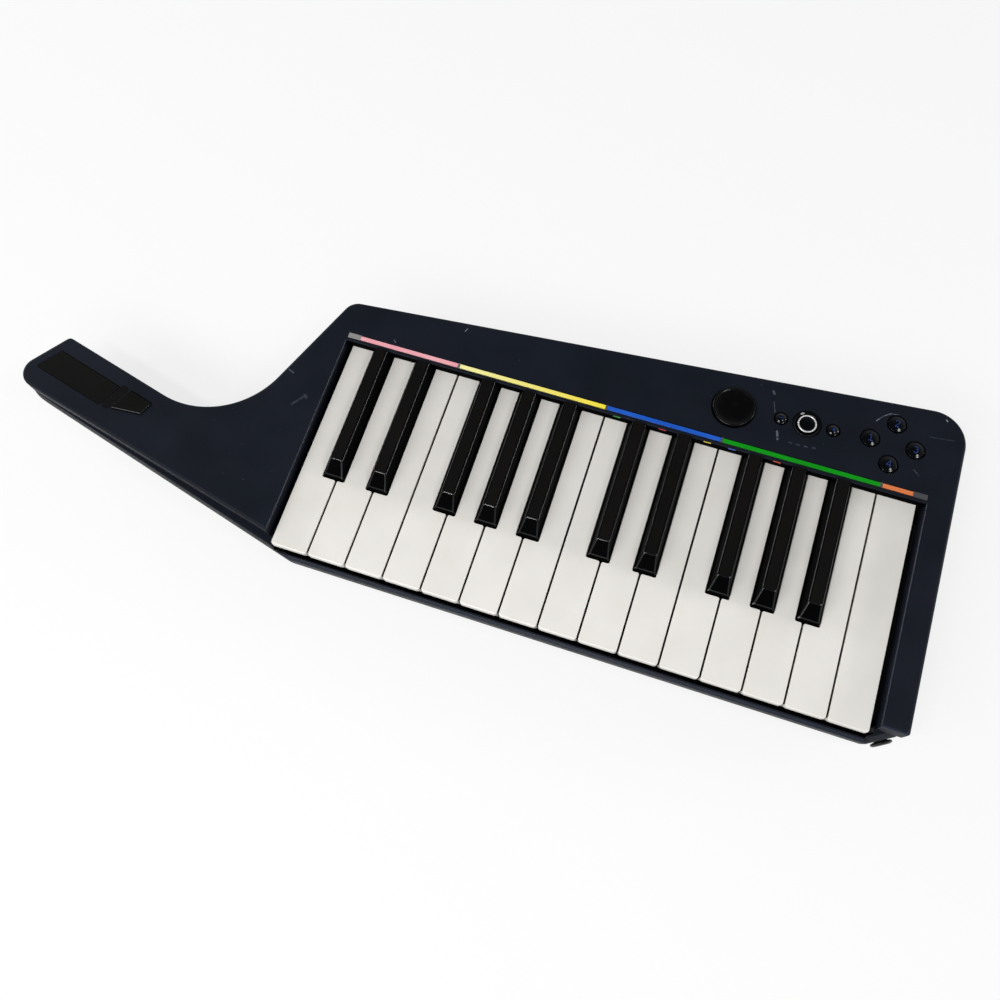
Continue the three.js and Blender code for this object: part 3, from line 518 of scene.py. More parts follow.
@dataclass(frozen=True)
class WornPaint(Finish):
    """Painted moulding with scratches and a dark line at chosen places, and fine dust all over."""

    scratches: tuple[Scratch, ...] = ()
    shade: tuple[Scratch, ...] = ()
    shade_colour: str = "#0a0a0a"
    scratch_colour: str = "#8f97a6"
    dust_colour: str = "#5a6272"
    dust_mm: float = 1.6
    dust_share: float = 0.25
    broken_mm: float = 1.3

    def tint(self, tree: Tree, place: Output) -> Output:
        """Paint colour with pale scratches and dust specks."""
        marks: Output | float = 0.0
        for scratch in self.scratches:
            marks = add_node(tree, "Math", [marks, self.line(tree, place, scratch)], operation="MAXIMUM")
        broken = patches(tree, place, self.broken_mm, (0.38, 0.55), (0.25, 1.0))
        layers = [(self.line(tree, place, band), self.shade_colour) for band in self.shade]
        dust = patches(tree, place, self.dust_mm, (0.76, 0.82), (0.0, self.dust_share), 1.0)
        layers.append((dust, self.dust_colour))
        layers.append((add_node(tree, "Math", [marks, broken], operation="MULTIPLY"), self.scratch_colour))
        paint = Finish.tint(self, tree, place)
        for share, colour in layers:
            paint = add_node(tree, "Mix", {0: share, FIRST: paint, SECOND: colour}, COLOUR, data_type="RGBA")
        return paint

    def line(self, tree: Tree, place: Output, scratch: Scratch) -> Output:
        """Share of a scratch at a point, from its distance to the scratch's line."""
        start, end = (frame_place() @ Vector(point) for point in (scratch.start, scratch.end))
        way = end - start
        from_start = add_node(tree, "VectorMath", [place, start], operation="SUBTRACT")
        inputs = [from_start, way / way.length_squared]
        share = add_node(tree, "VectorMath", inputs, "Value", operation="DOT_PRODUCT")
        held = add_node(tree, "Math", [share, 0.0], operation="ADD", use_clamp=True)
        nearest = add_node(tree, "VectorMath", {0: way, "Scale": held}, operation="SCALE")
        apart = add_node(tree, "VectorMath", [from_start, nearest], "Value", operation="DISTANCE")
        width = scratch.width * MM
        core = width * (1 - scratch.feather)
        return add_node(tree, "MapRange", [apart, core, width, scratch.strength, 0.0])


@dataclass(frozen=True)
class DyedPlastic(Finish):
    """Clear-faced coloured plastic. One with a reflection colour pales to it towards the low notes: a painted
    reflection.
    """

    reflection_colour: str = ""
    fade_from: float = 0.0
    fade_to: float = 300.0

    def tint(self, tree: Tree, place: Output) -> Output:
        """Dye that a painted reflection pales along the strip."""
        dye = Finish.tint(self, tree, place)
        if not self.reflection_colour:
            return dye
        share = graded(tree, place, "X", self.fade_from, self.fade_to)
        inputs = {0: share, FIRST: self.reflection_colour, SECOND: dye}
        return add_node(tree, "Mix", inputs, COLOUR, data_type="RGBA")


@dataclass(frozen=True)
class GapShadedMoulding(Finish):
    """Moulding with painted shade: its colour darkens below its upper edge, standing in for the shade between
    the keys.
    """

    gap_shade_colour: str = "#807565"
    unshaded_height: float = -1.0
    darkest_height: float = -4.0

    def tint(self, tree: Tree, place: Output) -> Output:
        """Colour that darkens with depth: painted shade."""
        share = graded(tree, place, "Z", self.darkest_height, self.unshaded_height)
        inputs = {0: share, FIRST: self.gap_shade_colour, SECOND: Finish.tint(self, tree, place)}
        return add_node(tree, "Mix", inputs, COLOUR, data_type="RGBA")


@dataclass(frozen=True)
class DrawnSteel(Finish):
    """Drawn bar: fine lines along its length stretch the highlight across it."""

    line_mm: float = 0.5
    stretch: float = 0.02

    def height(self, tree: Tree, place: Output) -> Output:
        """Lines along the bar."""
        stretched = add_node(tree, "Mapping", {"Vector": place, "Scale": (self.stretch, 1.0, 1.0)})
        return patches(tree, stretched, self.line_mm, detail=2.0)


@dataclass(frozen=True)
class CircuitLacquer(Finish):
    """Green lacquer over copper tracks, which show as a net of paler lines."""

    track_colour: str = "#2f7a4a"
    track_mm: float = 6.0
    unevenness: float = 0.75

    def tint(self, tree: Tree, place: Output) -> Output:
        """Lacquer with its tracks."""
        inputs = {"Vector": place, "Scale": 1 / (self.track_mm * MM), "Randomness": self.unevenness}
        net = add_node(tree, "TexVoronoi", inputs, "Distance", feature="DISTANCE_TO_EDGE")
        tracks = add_node(tree, "MapRange", [net, 0.05, 0.08, 1.0, 0.0])
        inputs = {0: tracks, FIRST: Finish.tint(self, tree, place), SECOND: self.track_colour}
        return add_node(tree, "Mix", inputs, COLOUR, data_type="RGBA")


@dataclass(frozen=True)
class CellSleeve(Finish):
    """Printed film round a cell: a coppery band at its raised end and dark film on the rest."""

    band_colour: str = "#4a2d14"
    band_from: float = 0.0
    band_edge: float = 0.3

    def tint(self, tree: Tree, place: Output) -> Output:
        """Film colour along the cell."""
        band = graded(tree, place, "X", self.band_from, self.band_from + self.band_edge)
        inputs = {0: band, FIRST: Finish.tint(self, tree, place), SECOND: self.band_colour}
        return add_node(tree, "Mix", inputs, COLOUR, data_type="RGBA")


PANEL_TOP = KEYS.panel
SCRATCHES = tuple(
    Scratch((*start, PANEL_TOP), (*end, PANEL_TOP), width, strength)
    for start, end, width, strength in (
        ((66.4, 162.6), (67.5, 164.9), 0.3, 0.7),
        ((26.2, 143.9), (27.4, 142.6), 0.4, 0.9),
        ((-29.0, 105.6), (-25.6, 104.3), 0.6, 0.22),
        ((-18.6, 84.4), (-12.4, 92.4), 1.0, 0.1),
        ((-13.4, 92.4), (-11.6, 90.8), 1.0, 0.12),
        ((256.6, 179.0), (257.5, 177.4), 0.8, 0.35),
        ((258.5, 172.0), (260.6, 165.8), 0.3, 0.25),
        ((264.5, 154.0), (265.9, 149.2), 0.8, 0.4),
        ((318.2, 177.9), (321.6, 182.0), 0.35, 0.7),
        ((321.6, 182.0), (325.4, 184.9), 0.3, 0.65),
        ((325.4, 184.9), (329.8, 185.6), 0.3, 0.5),
        ((349.6, 176.9), (364.0, 178.6), 0.3, 0.12),
        ((344.6, 153.9), (348.2, 151.0), 0.3, 0.25),
        ((357.0, 190.6), (357.7, 189.8), 0.5, 0.9),
    )
) + (Scratch((-8.5, 4.2, 5.9), (-6.4, 4.9, 5.9), 1.2, 0.95),)

# Painted ABS: the satin paint keeps reflections soft and blue-black
NAVY = WornPaint(
    "navy_painted_abs", "#13171f", "#171b24", 0.44, 0.54, grain_mm=0.9, grain_depth_mm=0.006, ior=1.18,
    scratches=SCRATCHES,
    shade=(Scratch((-122.2, 61.4, PANEL_TOP), (-128.1, 50.8, PANEL_TOP), 3.7, 0.95, 0.1),),
)
# The same paint rubbed shiny on the thin edges round the keys, where it catches a line of light; its colour
# is a little lighter there, a painted highlight
NAVY_EDGE = Finish(
    "navy_rubbed_edges", "#171d2a", "#1b2231", 0.2, 0.3, grain_mm=2.0, grain_depth_mm=0.004, ior=1.4
)
# Spark-textured ABS: the grain scatters light, so the casing looks dull and slightly warm
CHARCOAL = Finish(
    "charcoal_textured_abs", "#2b2c2a", "#343532", 0.5, 0.62, grain_mm=1.0, grain_depth_mm=0.03, ior=1.35
)
# Moulded ABS for keys: satin, ivory-white, with smudges from fingers
IVORY = Finish(
    "white_moulded_abs", "#ebe8e2", "#e5e2db", 0.3, 0.42, patch_mm=30.0, grain_mm=2.2, grain_depth_mm=0.004
)
# The same moulding between the keys, painted darker than the tops and darker still with depth: painted shade
# in the gaps between the keys
IVORY_SIDE = GapShadedMoulding(
    "white_moulded_abs_sides", "#a79f93", "#9c9387", 0.42, 0.52, patch_mm=12.0, grain_depth_mm=0.004,
    gap_shade_colour="#2b2722", unshaded_height=-0.8, darkest_height=-3.2,
)
# Polished edges of the black keys: they catch the lamps as thin lines
BLACK_GLOSS = Finish(
    "black_polished_abs", "#070708", "#0a0a0b", 0.14, 0.22, grain_mm=3.0, grain_depth_mm=0.002
)
# Satin flanks of the black keys, which stay black beside the white ones
BLACK_SATIN = Finish(
    "black_satin_abs", "#040405", "#060607", 0.3, 0.4, grain_mm=2.0, grain_depth_mm=0.004, ior=1.04
)
# Etched black ABS on top of the black keys: matt and a little brown
BLACK_MATT = Finish(
    "black_etched_abs", "#0b0a09", "#0e0c0b", 0.5, 0.6, grain_mm=0.8, grain_depth_mm=0.012, ior=1.17
)
# Soft-feel lacquer of the touch strip: matt and warm
PAD_MATT = Finish(
    "black_soft_feel_lacquer", "#0c0c0b", "#100f0e", 0.46, 0.56, grain_mm=0.8, grain_depth_mm=0.008, ior=1.15
)
# Painted shade: the well's rear wall is painted near-black and matt over the navy moulding, so it swallows
# the light
WELL_WALL_SHADE = Finish("black_groove_abs", "#030304", "#050506", 0.6, 0.7, ior=1.04)
# Polycarbonate caps: clear gloss over black, with sharp lamp reflections
CAP_GLOSS = Finish(
    "black_polycarbonate", "#030406", "#05070b", 0.05, 0.1, grain_mm=4.0, grain_depth_mm=0.001, ior=1.4
)
# Direction pad: the same polycarbonate, dulled by thumbs
PAD_GLOSS = Finish(
    "black_polycarbonate_worn", "#030304", "#040405", 0.16, 0.28, smudge_mm=9.0, grain_depth_mm=0.002,
    ior=1.35,
)
# Signs printed under the caps
SIGN_BLUE = Finish(
    "blue_pad_print", "#162c62", "#1a3370", 0.25, 0.35, patch_mm=3.0, grain_depth_mm=0.002, coat=0.5
)
# Plated plastic ring: bright, with a little haze
CHROME = Finish(
    "silver_plated_abs", "#e9e9e7", "#dededc", 0.24, 0.34, patch_mm=5.0, grain_depth_mm=0.002, metallic=0.45
)
# Smoked windows over the player lamps
LAMP_SMOKE = Finish(
    "smoked_polycarbonate", "#2b303b", "#353b48", 0.2, 0.3, patch_mm=2.0, grain_depth_mm=0.002
)
# Grey carrier of the colour strip, painted paler towards its low end: a painted reflection
CARRIER = DyedPlastic(
    "grey_moulded_abs", "#47474a", "#505053", 0.3, 0.4, grain_depth_mm=0.01,
    reflection_colour="#8d8d8b", fade_from=-2.0, fade_to=130.0,
)
# Moulded rubber: dull, with hardly a highlight
RUBBER = Finish("black_moulded_rubber", "#151515", "#1c1b1a", 0.75, 0.88, grain_mm=1.5, grain_depth_mm=0.03)
# Glass-filled nylon of the works: a broad, weak shine
BLACK_INNER = Finish("black_moulded_nylon", "#161617", "#1b1b1d", 0.4, 0.55, grain_depth_mm=0.02)
# Unpainted ABS of the chassis: even and matt
GREY_INNER = Finish("grey_moulded_abs_chassis", "#37383a", "#3e3f41", 0.5, 0.62, grain_depth_mm=0.02)
# Cold-drawn steel: a bright streak along the rod
STEEL = DrawnSteel("drawn_steel_rod", "#b4b5b6", "#a4a5a7", 0.25, 0.36, grain_depth_mm=0.01, metallic=1.0)
# Blackened steel: dark, with a sharp glint on the slots' edges
SCREW_STEEL = Finish(
    "blackened_steel_screws", "#3a3a3c", "#2c2c2e", 0.32, 0.45, patch_mm=2.0, grain_depth_mm=0.006,
    metallic=1.0,
)
# Solder lacquer over copper: deep green, with the tracks showing through
LACQUER = CircuitLacquer("green_board_lacquer", "#17502d", "#1b5a33", 0.28, 0.4, grain_depth_mm=0.02)
# Moulded silicone: soft grey with a milky highlight
SILICONE = Finish("grey_silicone_rubber", "#6a6c6f", "#737578", 0.55, 0.68, grain_depth_mm=0.01)
# Pressed wool felt: no highlight, and fibres that light up at the edges
FELT = Finish(
    "red_pressed_felt", "#3c1216", "#47171c", 0.9, 0.98, patch_mm=2.5, grain_mm=0.9, grain_depth_mm=0.25,
    sheen=0.6,
)
# Shrunk printed film: smooth, with a tight highlight along the cell
SLEEVE = CellSleeve(
    "printed_cell_film", "#17181b", "#1d1e22", 0.22, 0.32, grain_depth_mm=0.003, band_from=-22.0
)


class Shop:
    """Turns finished bodies into objects of the frame."""

    def __init__(self) -> None:
        self.place = frame_place()

    def finish(
        self,
        solid: Solid,
        name: str,
        body: str,
        slot: str,
        finishes: Sequence[Finish],
        paint: Callable[[Face], int] | None = None,
        replaces: Sequence[str] = (),
        smooth: float = 38.0,
    ) -> bpy.types.Object:
        """Moves a body into the frame and gives it its finishes.

        Args:
            solid: The body, in the drawing's millimetres, which is freed.
            name: Name of the object.
            body: Body of the record that carries it.
            slot: Material slot of the record that it belongs to; not used.
            finishes: Finishes of its faces.
            paint: Says which finish a face has; the first one if left out.
            replaces: Nodes whose plain mesh this piece stands in for.
            smooth: Greatest angle, in degrees, that is shaded as one surface.

        Returns:
            The new object.
        """
        bmesh.ops.remove_doubles(solid, verts=solid.verts, dist=WELD)
        bmesh.ops.dissolve_degenerate(solid, edges=solid.edges, dist=WELD)
        bmesh.ops.recalc_face_normals(solid, faces=solid.faces)
        solid.normal_update()
        for face in solid.faces:
            face.smooth = True
            face.material_index = paint(face) if paint else 0
        bmesh.ops.transform(solid, matrix=self.place, verts=solid.verts)
        mesh = bpy.data.meshes.new(name)
        solid.to_mesh(mesh)
        solid.free()
        for finish in finishes:
            mesh.materials.append(finish.material())
        mesh.set_sharp_from_angle(angle=math.radians(smooth))
        thing = bpy.data.objects.new(name, mesh)
        bpy.context.scene.collection.objects.link(thing)
        shading = thing.modifiers.new("weighted_normals", "WEIGHTED_NORMAL")
        shading.keep_sharp = True
        shading.weight = 60
        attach(thing, body)
        if replaces:
            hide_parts(*replaces)
        LOG.info("%s: %d faces", name, len(mesh.polygons))
        return thing


def across_keys(points: Sequence[Point], start: float, end: float) -> Solid:
    """A side view, given as (y, z) points anticlockwise from the right, drawn from one x to another."""
    return moved(prism(points, start, end), ACROSS_KEYS)


def along_keys(points: Sequence[Point], start: float, end: float) -> Solid:
    """A front view, given as (x, z) points, drawn from one y to another."""
    return moved(prism(points, -end, -start), ALONG_KEYS)


def rod_across(radius: float, span: Point, back: float, height: float, steps: int) -> Solid:
    """A round rod along the keyboard.

    Args:
        radius: Radius of the rod.
        span: Where it starts and ends.
        back: How far it lies behind the keys' front edges.
        height: Height of its middle.
        steps: How many steps it has round it.

    Returns:
        The rod.
    """
    place = Matrix.Translation((0.0, back, height)) @ Matrix.Rotation(QUARTER, 4, "Y")
    return moved(cylinder(radius, *span, steps), place)


def flared(
    points: Callable[[float], Sequence[Point]], low: float, high: float, radius: float, steps: int = 4
) -> Solid:
    """Cutting shape that leaves a rounded rim round a hole.

    Args:
        points: Gives the hole's outline grown by an amount.
        low: Height where the cut starts.
        high: Height of the surface that is cut.
        radius: Radius of the rim.
        steps: How many steps the rim has.

    Returns:
        The cutting shape, which runs on above the surface.
    """
    levels = [(0.0, low)]
    for step in range(steps + 1):
        turn = QUARTER * step / steps
        levels.append((radius * (1 - math.cos(turn)), high - radius + radius * math.sin(turn)))
    levels.append((radius, high + OVERRUN))
    return lofted([[(x, y, z) for x, y in points(grow)] for grow, z in levels])


def eased(knots: Sequence[tuple[float, ...]], reach: float, steps: int = 4) -> list[tuple[float, ...]]:
    """Rounds the inner corners of a line of knots, so that a skin through them bends softly.

    Args:
        knots: Rows of numbers, the first and last of which stay.
        reach: How far from a knot its rounding starts, within 45 parts in 100 of the way to the next.
        steps: How many steps each rounding has.

    Returns:
        The rounded line's rows.
    """
    rows = [Vector(knot) for knot in knots]
    line = [rows[0]]
    for before, here, after in zip(rows, rows[1:], rows[2:]):
        start, end = (here.lerp(other, min(0.45, reach / (other - here).length)) for other in (before, after))
        for step in range(steps + 1):
            way = step / steps
            line.append(start.lerp(here, way).lerp(here.lerp(end, way), way))
    line.append(rows[-1])
    return [tuple(row) for row in line]


@dataclass(frozen=True)
class Plan:
    """Outlines of the casing seen from above."""

    cheek_front: float = 3.9
    right: float = 371.2
    rear: Edge = Edge(0.0, 162.8, -1.0, -0.0926)
    horn: Edge = Edge(-73.9, 0.0, -0.3998, -1.0)
    neck_rear: Edge = Edge(0.0, 42.3, -1.0, 0.2532)
    tip: Edge = Edge(-237.05, 0.0, -0.763, -1.0)
    neck_front: Edge = Edge(0.0, 4.35, 1.0, -0.2397)
    lower_neck_front: Edge = Edge(0.0, -1.2, 1.0, -0.2634)
    lower_front: float = -4.1
    lower_right: float = 370.2
    cut_width: float = 15.2
    cut_run: float = 9.1
    setback: float = 1.5
    front_radius: float = 18.0
    side_radius: float = 1.5
    rear_radius: float = 20.0
    horn_radius: float = 10.0
    root_radius: float = 54.0
    tip_radius: float = 3.0
    shoulder_radius: float = 10.3

    def upper(self) -> Outline:
        """Outline of the upper casing: front, right, rear, horn, neck rear, tip, neck front."""
        return Outline((
            Corner(Edge(0.0, self.cheek_front, 1.0, 0.0), self.side_radius),
            Corner(Edge(self.right, 0.0, 0.0, 1.0), self.side_radius),
            Corner(self.rear, self.rear_radius),
            Corner(self.horn, self.horn_radius),
            Corner(self.neck_rear, self.root_radius),
            Corner(self.tip, self.tip_radius),
            Corner(self.neck_front, self.shoulder_radius),
        ))

    def cut_corner(self) -> Edge:
        """Cut-off front right corner of the lower casing."""
        return Edge(self.lower_right - self.cut_width, self.lower_front, self.cut_width, self.cut_run)

    def lower(self) -> Outline:
        """Outline of the lower casing: front, cut corner, right, rear, horn, neck rear, tip, neck front."""
        back = self.setback
        return Outline((
            Corner(Edge(0.0, self.lower_front, 1.0, 0.0), self.front_radius),
            Corner(self.cut_corner(), self.tip_radius),
            Corner(Edge(self.lower_right, 0.0, 0.0, 1.0), self.side_radius),
            Corner(self.rear.inward(back), self.rear_radius - back),
            Corner(self.horn.inward(back), self.horn_radius - back),
            Corner(self.neck_rear.inward(back), self.root_radius + back),
            Corner(self.tip.inward(back), self.tip_radius),
            Corner(self.lower_neck_front, self.shoulder_radius),
        ))

    def on_neck(self, run: float, inset: float) -> Point:
        """A place by its run along the neck's rear edge from the tip, and its inset from that edge."""
        along = -self.neck_rear.along()
        across = Vector((along.y, -along.x))
        place = self.neck_rear.meet(self.tip) + along * run + across * inset
        return (place.x, place.y)


PLAN = Plan()


@dataclass(frozen=True)
class Controls:
    """Where the controls stand and how wide they are. Runs are from the direction pad's middle."""

    pad_x: float = 236.6
    pad_y: float = 161.6
    rise: float = 0.05
    pad_hole: float = 13.2
    pad_cap: float = 12.6
    minus_run: float = 28.3
    home_run: float = 43.6
    plus_run: float = 59.1
    face_run: float = 93.7
    face_spread: float = 13.2
    face_radius: float = 5.6
    small_radius: float = 4.0
    home_radius: float = 6.2
    home_bezel: float = 8.7
    room: float = 0.4
    button_rise: float = 0.9
    touch: tuple[Point, ...] = ((2.6, 10.4), (-4.3, 26.6), (46.6, 26.6), (50.6, 10.4))
    neck_button: tuple[Point, ...] = ((57.7, 8.8), (54.2, 24.7), (73.5, 18.1), (74.8, 8.8))
    lamps: tuple[Point, ...] = ((273.5, 149.3), (278.1, 149.4), (282.6, 149.5), (287.3, 150.1))
    lamp_size: tuple[float, float] = (2.4, 1.0)

    def at(self, run: float) -> Point:
        """A place on the line of the controls, by its run."""
        return (self.pad_x + run, self.pad_y + run * self.rise)

    def buttons(self) -> dict[str, tuple[Point, float]]:
        """Place and radius of each round button."""
        x, y = self.at(self.face_run)
        step, radius = self.face_spread, self.face_radius
        spots = ((x - step, y), (x, y + step), (x + step, y), (x, y - step))
        places = {f"button_{number}": (spot, radius) for number, spot in enumerate(spots, start=1)}
        places["minus_button"] = (self.at(self.minus_run), self.small_radius)
        places["home_button"] = (self.at(self.home_run), self.home_radius)
        places["plus_button"] = (self.at(self.plus_run), self.small_radius)
        return places

    def neck_outline(self, places: Sequence[Point], radius: float) -> Outline:
        """Outline of a piece on the neck."""
        return corners_of([PLAN.on_neck(*place) for place in places], radius)


CONTROLS = Controls()


@dataclass(frozen=True)
class Strip:
    """Groove behind the keys and the coloured bars in it."""

    front: float = 137.3
    rear: float = 140.9
    depth: float = 1.4
    fit: float = 0.3
    divider: float = 1.4
    left_end: float = 5.8
    right_end: float = 347.2
    marks: tuple[int, ...] = (3, 7, 10, 14)

    def spans(self) -> list[tuple[float, float]]:
        """Left and right end of each bar."""
        middles = [mark * KEYS.pitch for mark in self.marks]
        starts = [self.left_end, *(middle + self.divider / 2 for middle in middles)]
        ends = [*(middle - self.divider / 2 for middle in middles), self.right_end]
        return list(zip(starts, ends))


STRIP = Strip()


@dataclass(frozen=True)
class UpperCasing:
    """Top panel with the keyboard's well, the strip's groove and the holes of the controls."""

    low: float = -5.0
    edge_radius: float = 2.1
    lip: float = 0.25
    well_rim: float = 0.9
    pad_rim: float = 0.5
    hole_rim: float = 0.35
    wedge_rim: float = 0.2
    fine_rim: float = 0.15
    home_rim: float = 0.1
    pocket_depth: float = 1.4
    pocket_radius: float = 0.8
    wedge_radius: float = 1.0
    piece_room: float = 0.3
    bezel_depth: float = 0.8
    lamp_depth: float = 0.5
    lamp_room: float = 0.05
    rear_wall_lift: float = 1.0
    post_radius: float = 2.5
    post_low: float = -1.3
    posts: tuple[Point, ...] = ((217.0, 159.5), (350.2, 157.5), (348.2, 184.499), (217.0, 171.624))

    def build(self, shop: Shop) -> None:
        """Makes the casing's top."""
        under, wall, outline = KEYS.panel - KEYS.wall, KEYS.wall, PLAN.upper()
        left, right, rear = KEYS.well_left, KEYS.well_right, KEYS.white_length
        deep = self.low - OVERRUN
        cavity = lofted([outline.ring(wall, z) for z in (deep, under)])
        round_well = block((left - wall, -FAR, deep - OVERRUN), (right + wall, rear + wall, under + OVERRUN))
        cavity = boolean(cavity, round_well)
        for x, y in self.posts:
            post = cylinder(self.post_radius, self.post_low, under + 1, 32)
            cavity = boolean(cavity, moved(post, (x, y, 0.0)))
        rings = [outline.ring(self.lip, self.low), outline.ring(0.0, self.low + self.lip)]
        casing = lofted([*rings, *outline.crown(self.edge_radius, KEYS.panel, 6)])
        behind = block((left, rear - OVERRUN, deep), (right, rear + wall * 2 + OVERRUN, self.rear_wall_lift))
        for cut in (cavity, behind, joined(*self.cutters()), joined(*self.shallow_cutters())):
            casing = boolean(casing, cut)
        shop.finish(
            casing, "upper_casing", "housing", "navy_plastic", [NAVY, WELL_WALL_SHADE, NAVY_EDGE], self.shade_and_highlight,
            ["upper_housing"], 30.0,
        )

    def shade_and_highlight(self, face: Face) -> int:
        """Finish of a face: painted shade on the well's rear wall, and the rubbed edge paint with its painted
        highlight on the thin edges.
        """
        middle, lift = face.calc_center_median(), face.normal.z
        in_well = KEYS.well_left - 1 < middle.x < KEYS.well_right + 1
        if in_well and abs(middle.y - KEYS.white_length) < 0.05:
            return 1
        from_side = min(abs(middle.x - KEYS.well_left), abs(middle.x - KEYS.well_right))
        beside = from_side < self.well_rim + 0.05
        before = middle.x > KEYS.well_right and middle.y < PLAN.cheek_front + self.edge_radius + 0.1
        rounded = 0.15 < lift < 0.985 and middle.y < KEYS.white_length + 2
        return 2 if rounded and (beside or before) else 0

    def cutters(self) -> list[Solid]:
        """Well, groove, holes and pocket."""
        left, right, top = KEYS.well_left, KEYS.well_right, KEYS.panel

        def well(grow: float) -> list[Point]:
            return rectangle(left - grow, -FAR, right + grow, KEYS.white_length + grow)

        def groove(grow: float) -> list[Point]:
            return rectangle(left - grow, STRIP.front - grow, right + grow, STRIP.rear + grow)

        def around(place: Point, radius: float, steps: int) -> Callable[[float], list[Point]]:
            turns = [math.tau * step / steps for step in range(steps)]

            def ring(grow: float) -> list[Point]:
                x, y, reach = *place, radius + grow
                return [(x + reach * math.cos(turn), y + reach * math.sin(turn)) for turn in turns]

            return ring

        def shaped(places: Sequence[Point], radius: float) -> Callable[[float], list[Point]]:
            outline = CONTROLS.neck_outline(places, radius)
            return lambda grow: [(x, y) for x, y, _ in outline.ring(-self.piece_room - grow, 0.0)]

        cuts = [
            flared(well, self.low - OVERRUN, top, self.well_rim, 6),
            flared(groove, top - STRIP.depth, top, self.fine_rim, 2),
            flared(around(CONTROLS.at(0.0), CONTROLS.pad_hole, 96), 0.0, top, self.pad_rim),
        ]
        for name, (place, radius) in CONTROLS.buttons().items():
            rim = self.home_rim if name == "home_button" else self.hole_rim
            cuts.append(flared(around(place, radius + CONTROLS.room, 64), 0.0, top, rim))
        touch = shaped(CONTROLS.touch, self.pocket_radius)
        cuts.append(flared(touch, top - self.pocket_depth, top, self.fine_rim, 2))
        wedge = shaped(CONTROLS.neck_button, self.wedge_radius)
        cuts.append(flared(wedge, 0.0, top, self.wedge_rim, 2))
        return cuts

    def shallow_cutters(self) -> list[Solid]:
        """Seat of the ring round the home button and windows of the four lamps."""
        top = KEYS.panel
        place, _ = CONTROLS.buttons()["home_button"]
        cuts = [moved(cylinder(CONTROLS.home_bezel, top - self.bezel_depth, top + 1, 96), (*place, 0.0))]
        half_x, half_y = (size / 2 + self.lamp_room for size in CONTROLS.lamp_size)
        low, high = top - self.lamp_depth, top + 1
        for x, y in CONTROLS.lamps:
            cuts.append(block((x - half_x, y - half_y, low), (x + half_x, y + half_y, high)))
        return cuts


@dataclass(frozen=True)
class Screws:
    """Screws that hold the base to the top, sunk in the underside. Profiles are in radius and height."""

    seat: tuple[Point, ...] = ((0.0, -6.0), (3.15, -6.0), (3.15, 0.0), (2.85, 0.3), (2.85, 1.7), (0.0, 1.7))
    head: tuple[Point, ...] = ((0.0, 0.5), (1.9, 0.5), (2.4, 0.75), (2.6, 1.2), (2.6, 1.68), (0.0, 1.68))
    slot: tuple[float, float, float] = (1.45, 0.3, 1.2)
    turn_degrees: float = 37.0
    base: float = -38.0
    neck_base: float = -24.0
    places: tuple[Point, ...] = (
        (6.0, 11.5), (120.0, 11.5), (235.0, 11.5), (352.0, 42.0), (-6.0, 130.0), (120.0, 158.0),
        (235.0, 168.0), (350.0, 150.0), (-28.0, 63.0),
    )
    neck_places: tuple[Point, ...] = ((-118.0, 52.5), (-166.0, 64.0))

    def spots(self) -> list[Point3]:
        """Place of each screw, with the height of the surface it is sunk in."""
        levels = ((self.places, self.base), (self.neck_places, self.neck_base))
        return [(x, y, z) for places, z in levels for x, y in places]

    def seats(self) -> list[Solid]:
        """Cutting shapes of the sinks."""
        return [moved(turned(self.seat, 40), spot) for spot in self.spots()]

    def build(self, shop: Shop) -> None:
        """Makes the screws' heads with their cross slots."""
        head = turned(self.head, 40)
        reach, half, top = self.slot
        for x, y in ((reach, half), (half, reach)):
            head = boolean(head, block((-x, -y, -OVERRUN), (x, y, top)))
        heads = []
        for number, spot in enumerate(self.spots()):
            turn = Matrix.Rotation(math.radians(number * self.turn_degrees), 4, "Z")
            heads.append(moved(head.copy(), Matrix.Translation(spot) @ turn))
        head.free()
        shop.finish(joined(*heads), "base_screws", "housing", "charcoal_plastic", [SCREW_STEEL])


SCREWS = Screws()


@dataclass(frozen=True)
class Seat:
    """Flat seat of a strap peg: its middle and the way out of the wall."""

    x: float
    y: float
    out_x: float
    out_y: float
    drop: float = -20.0

    def place(self) -> Matrix:
        """Matrix that stands a piece drawn along +Z on the seat."""
        out = Vector((self.out_x, self.out_y, 0.0)).normalized()
        turn = out.to_track_quat("Z", "Y").to_matrix().to_4x4()
        return Matrix.Translation((self.x, self.y, self.drop)) @ turn


def peg_seats() -> dict[str, Seat]:
    """Seat of each strap peg."""
    front_inset, off_middle, rear_inset, rear_run = 5.5, 2.0, PLAN.setback + 3.0, -25.0
    front_run = math.hypot(PLAN.cut_width, PLAN.cut_run) / 2 + off_middle
    seats = {}
    for name, edge, run in (
        ("strap_peg_front", PLAN.cut_corner().inward(front_inset), front_run),
        ("strap_peg_rear", PLAN.rear.inward(rear_inset), rear_run),
    ):
        way = edge.along()
        seats[name] = Seat(edge.x + way.x * run, edge.y + way.y * run, way.y, -way.x)
    return seats


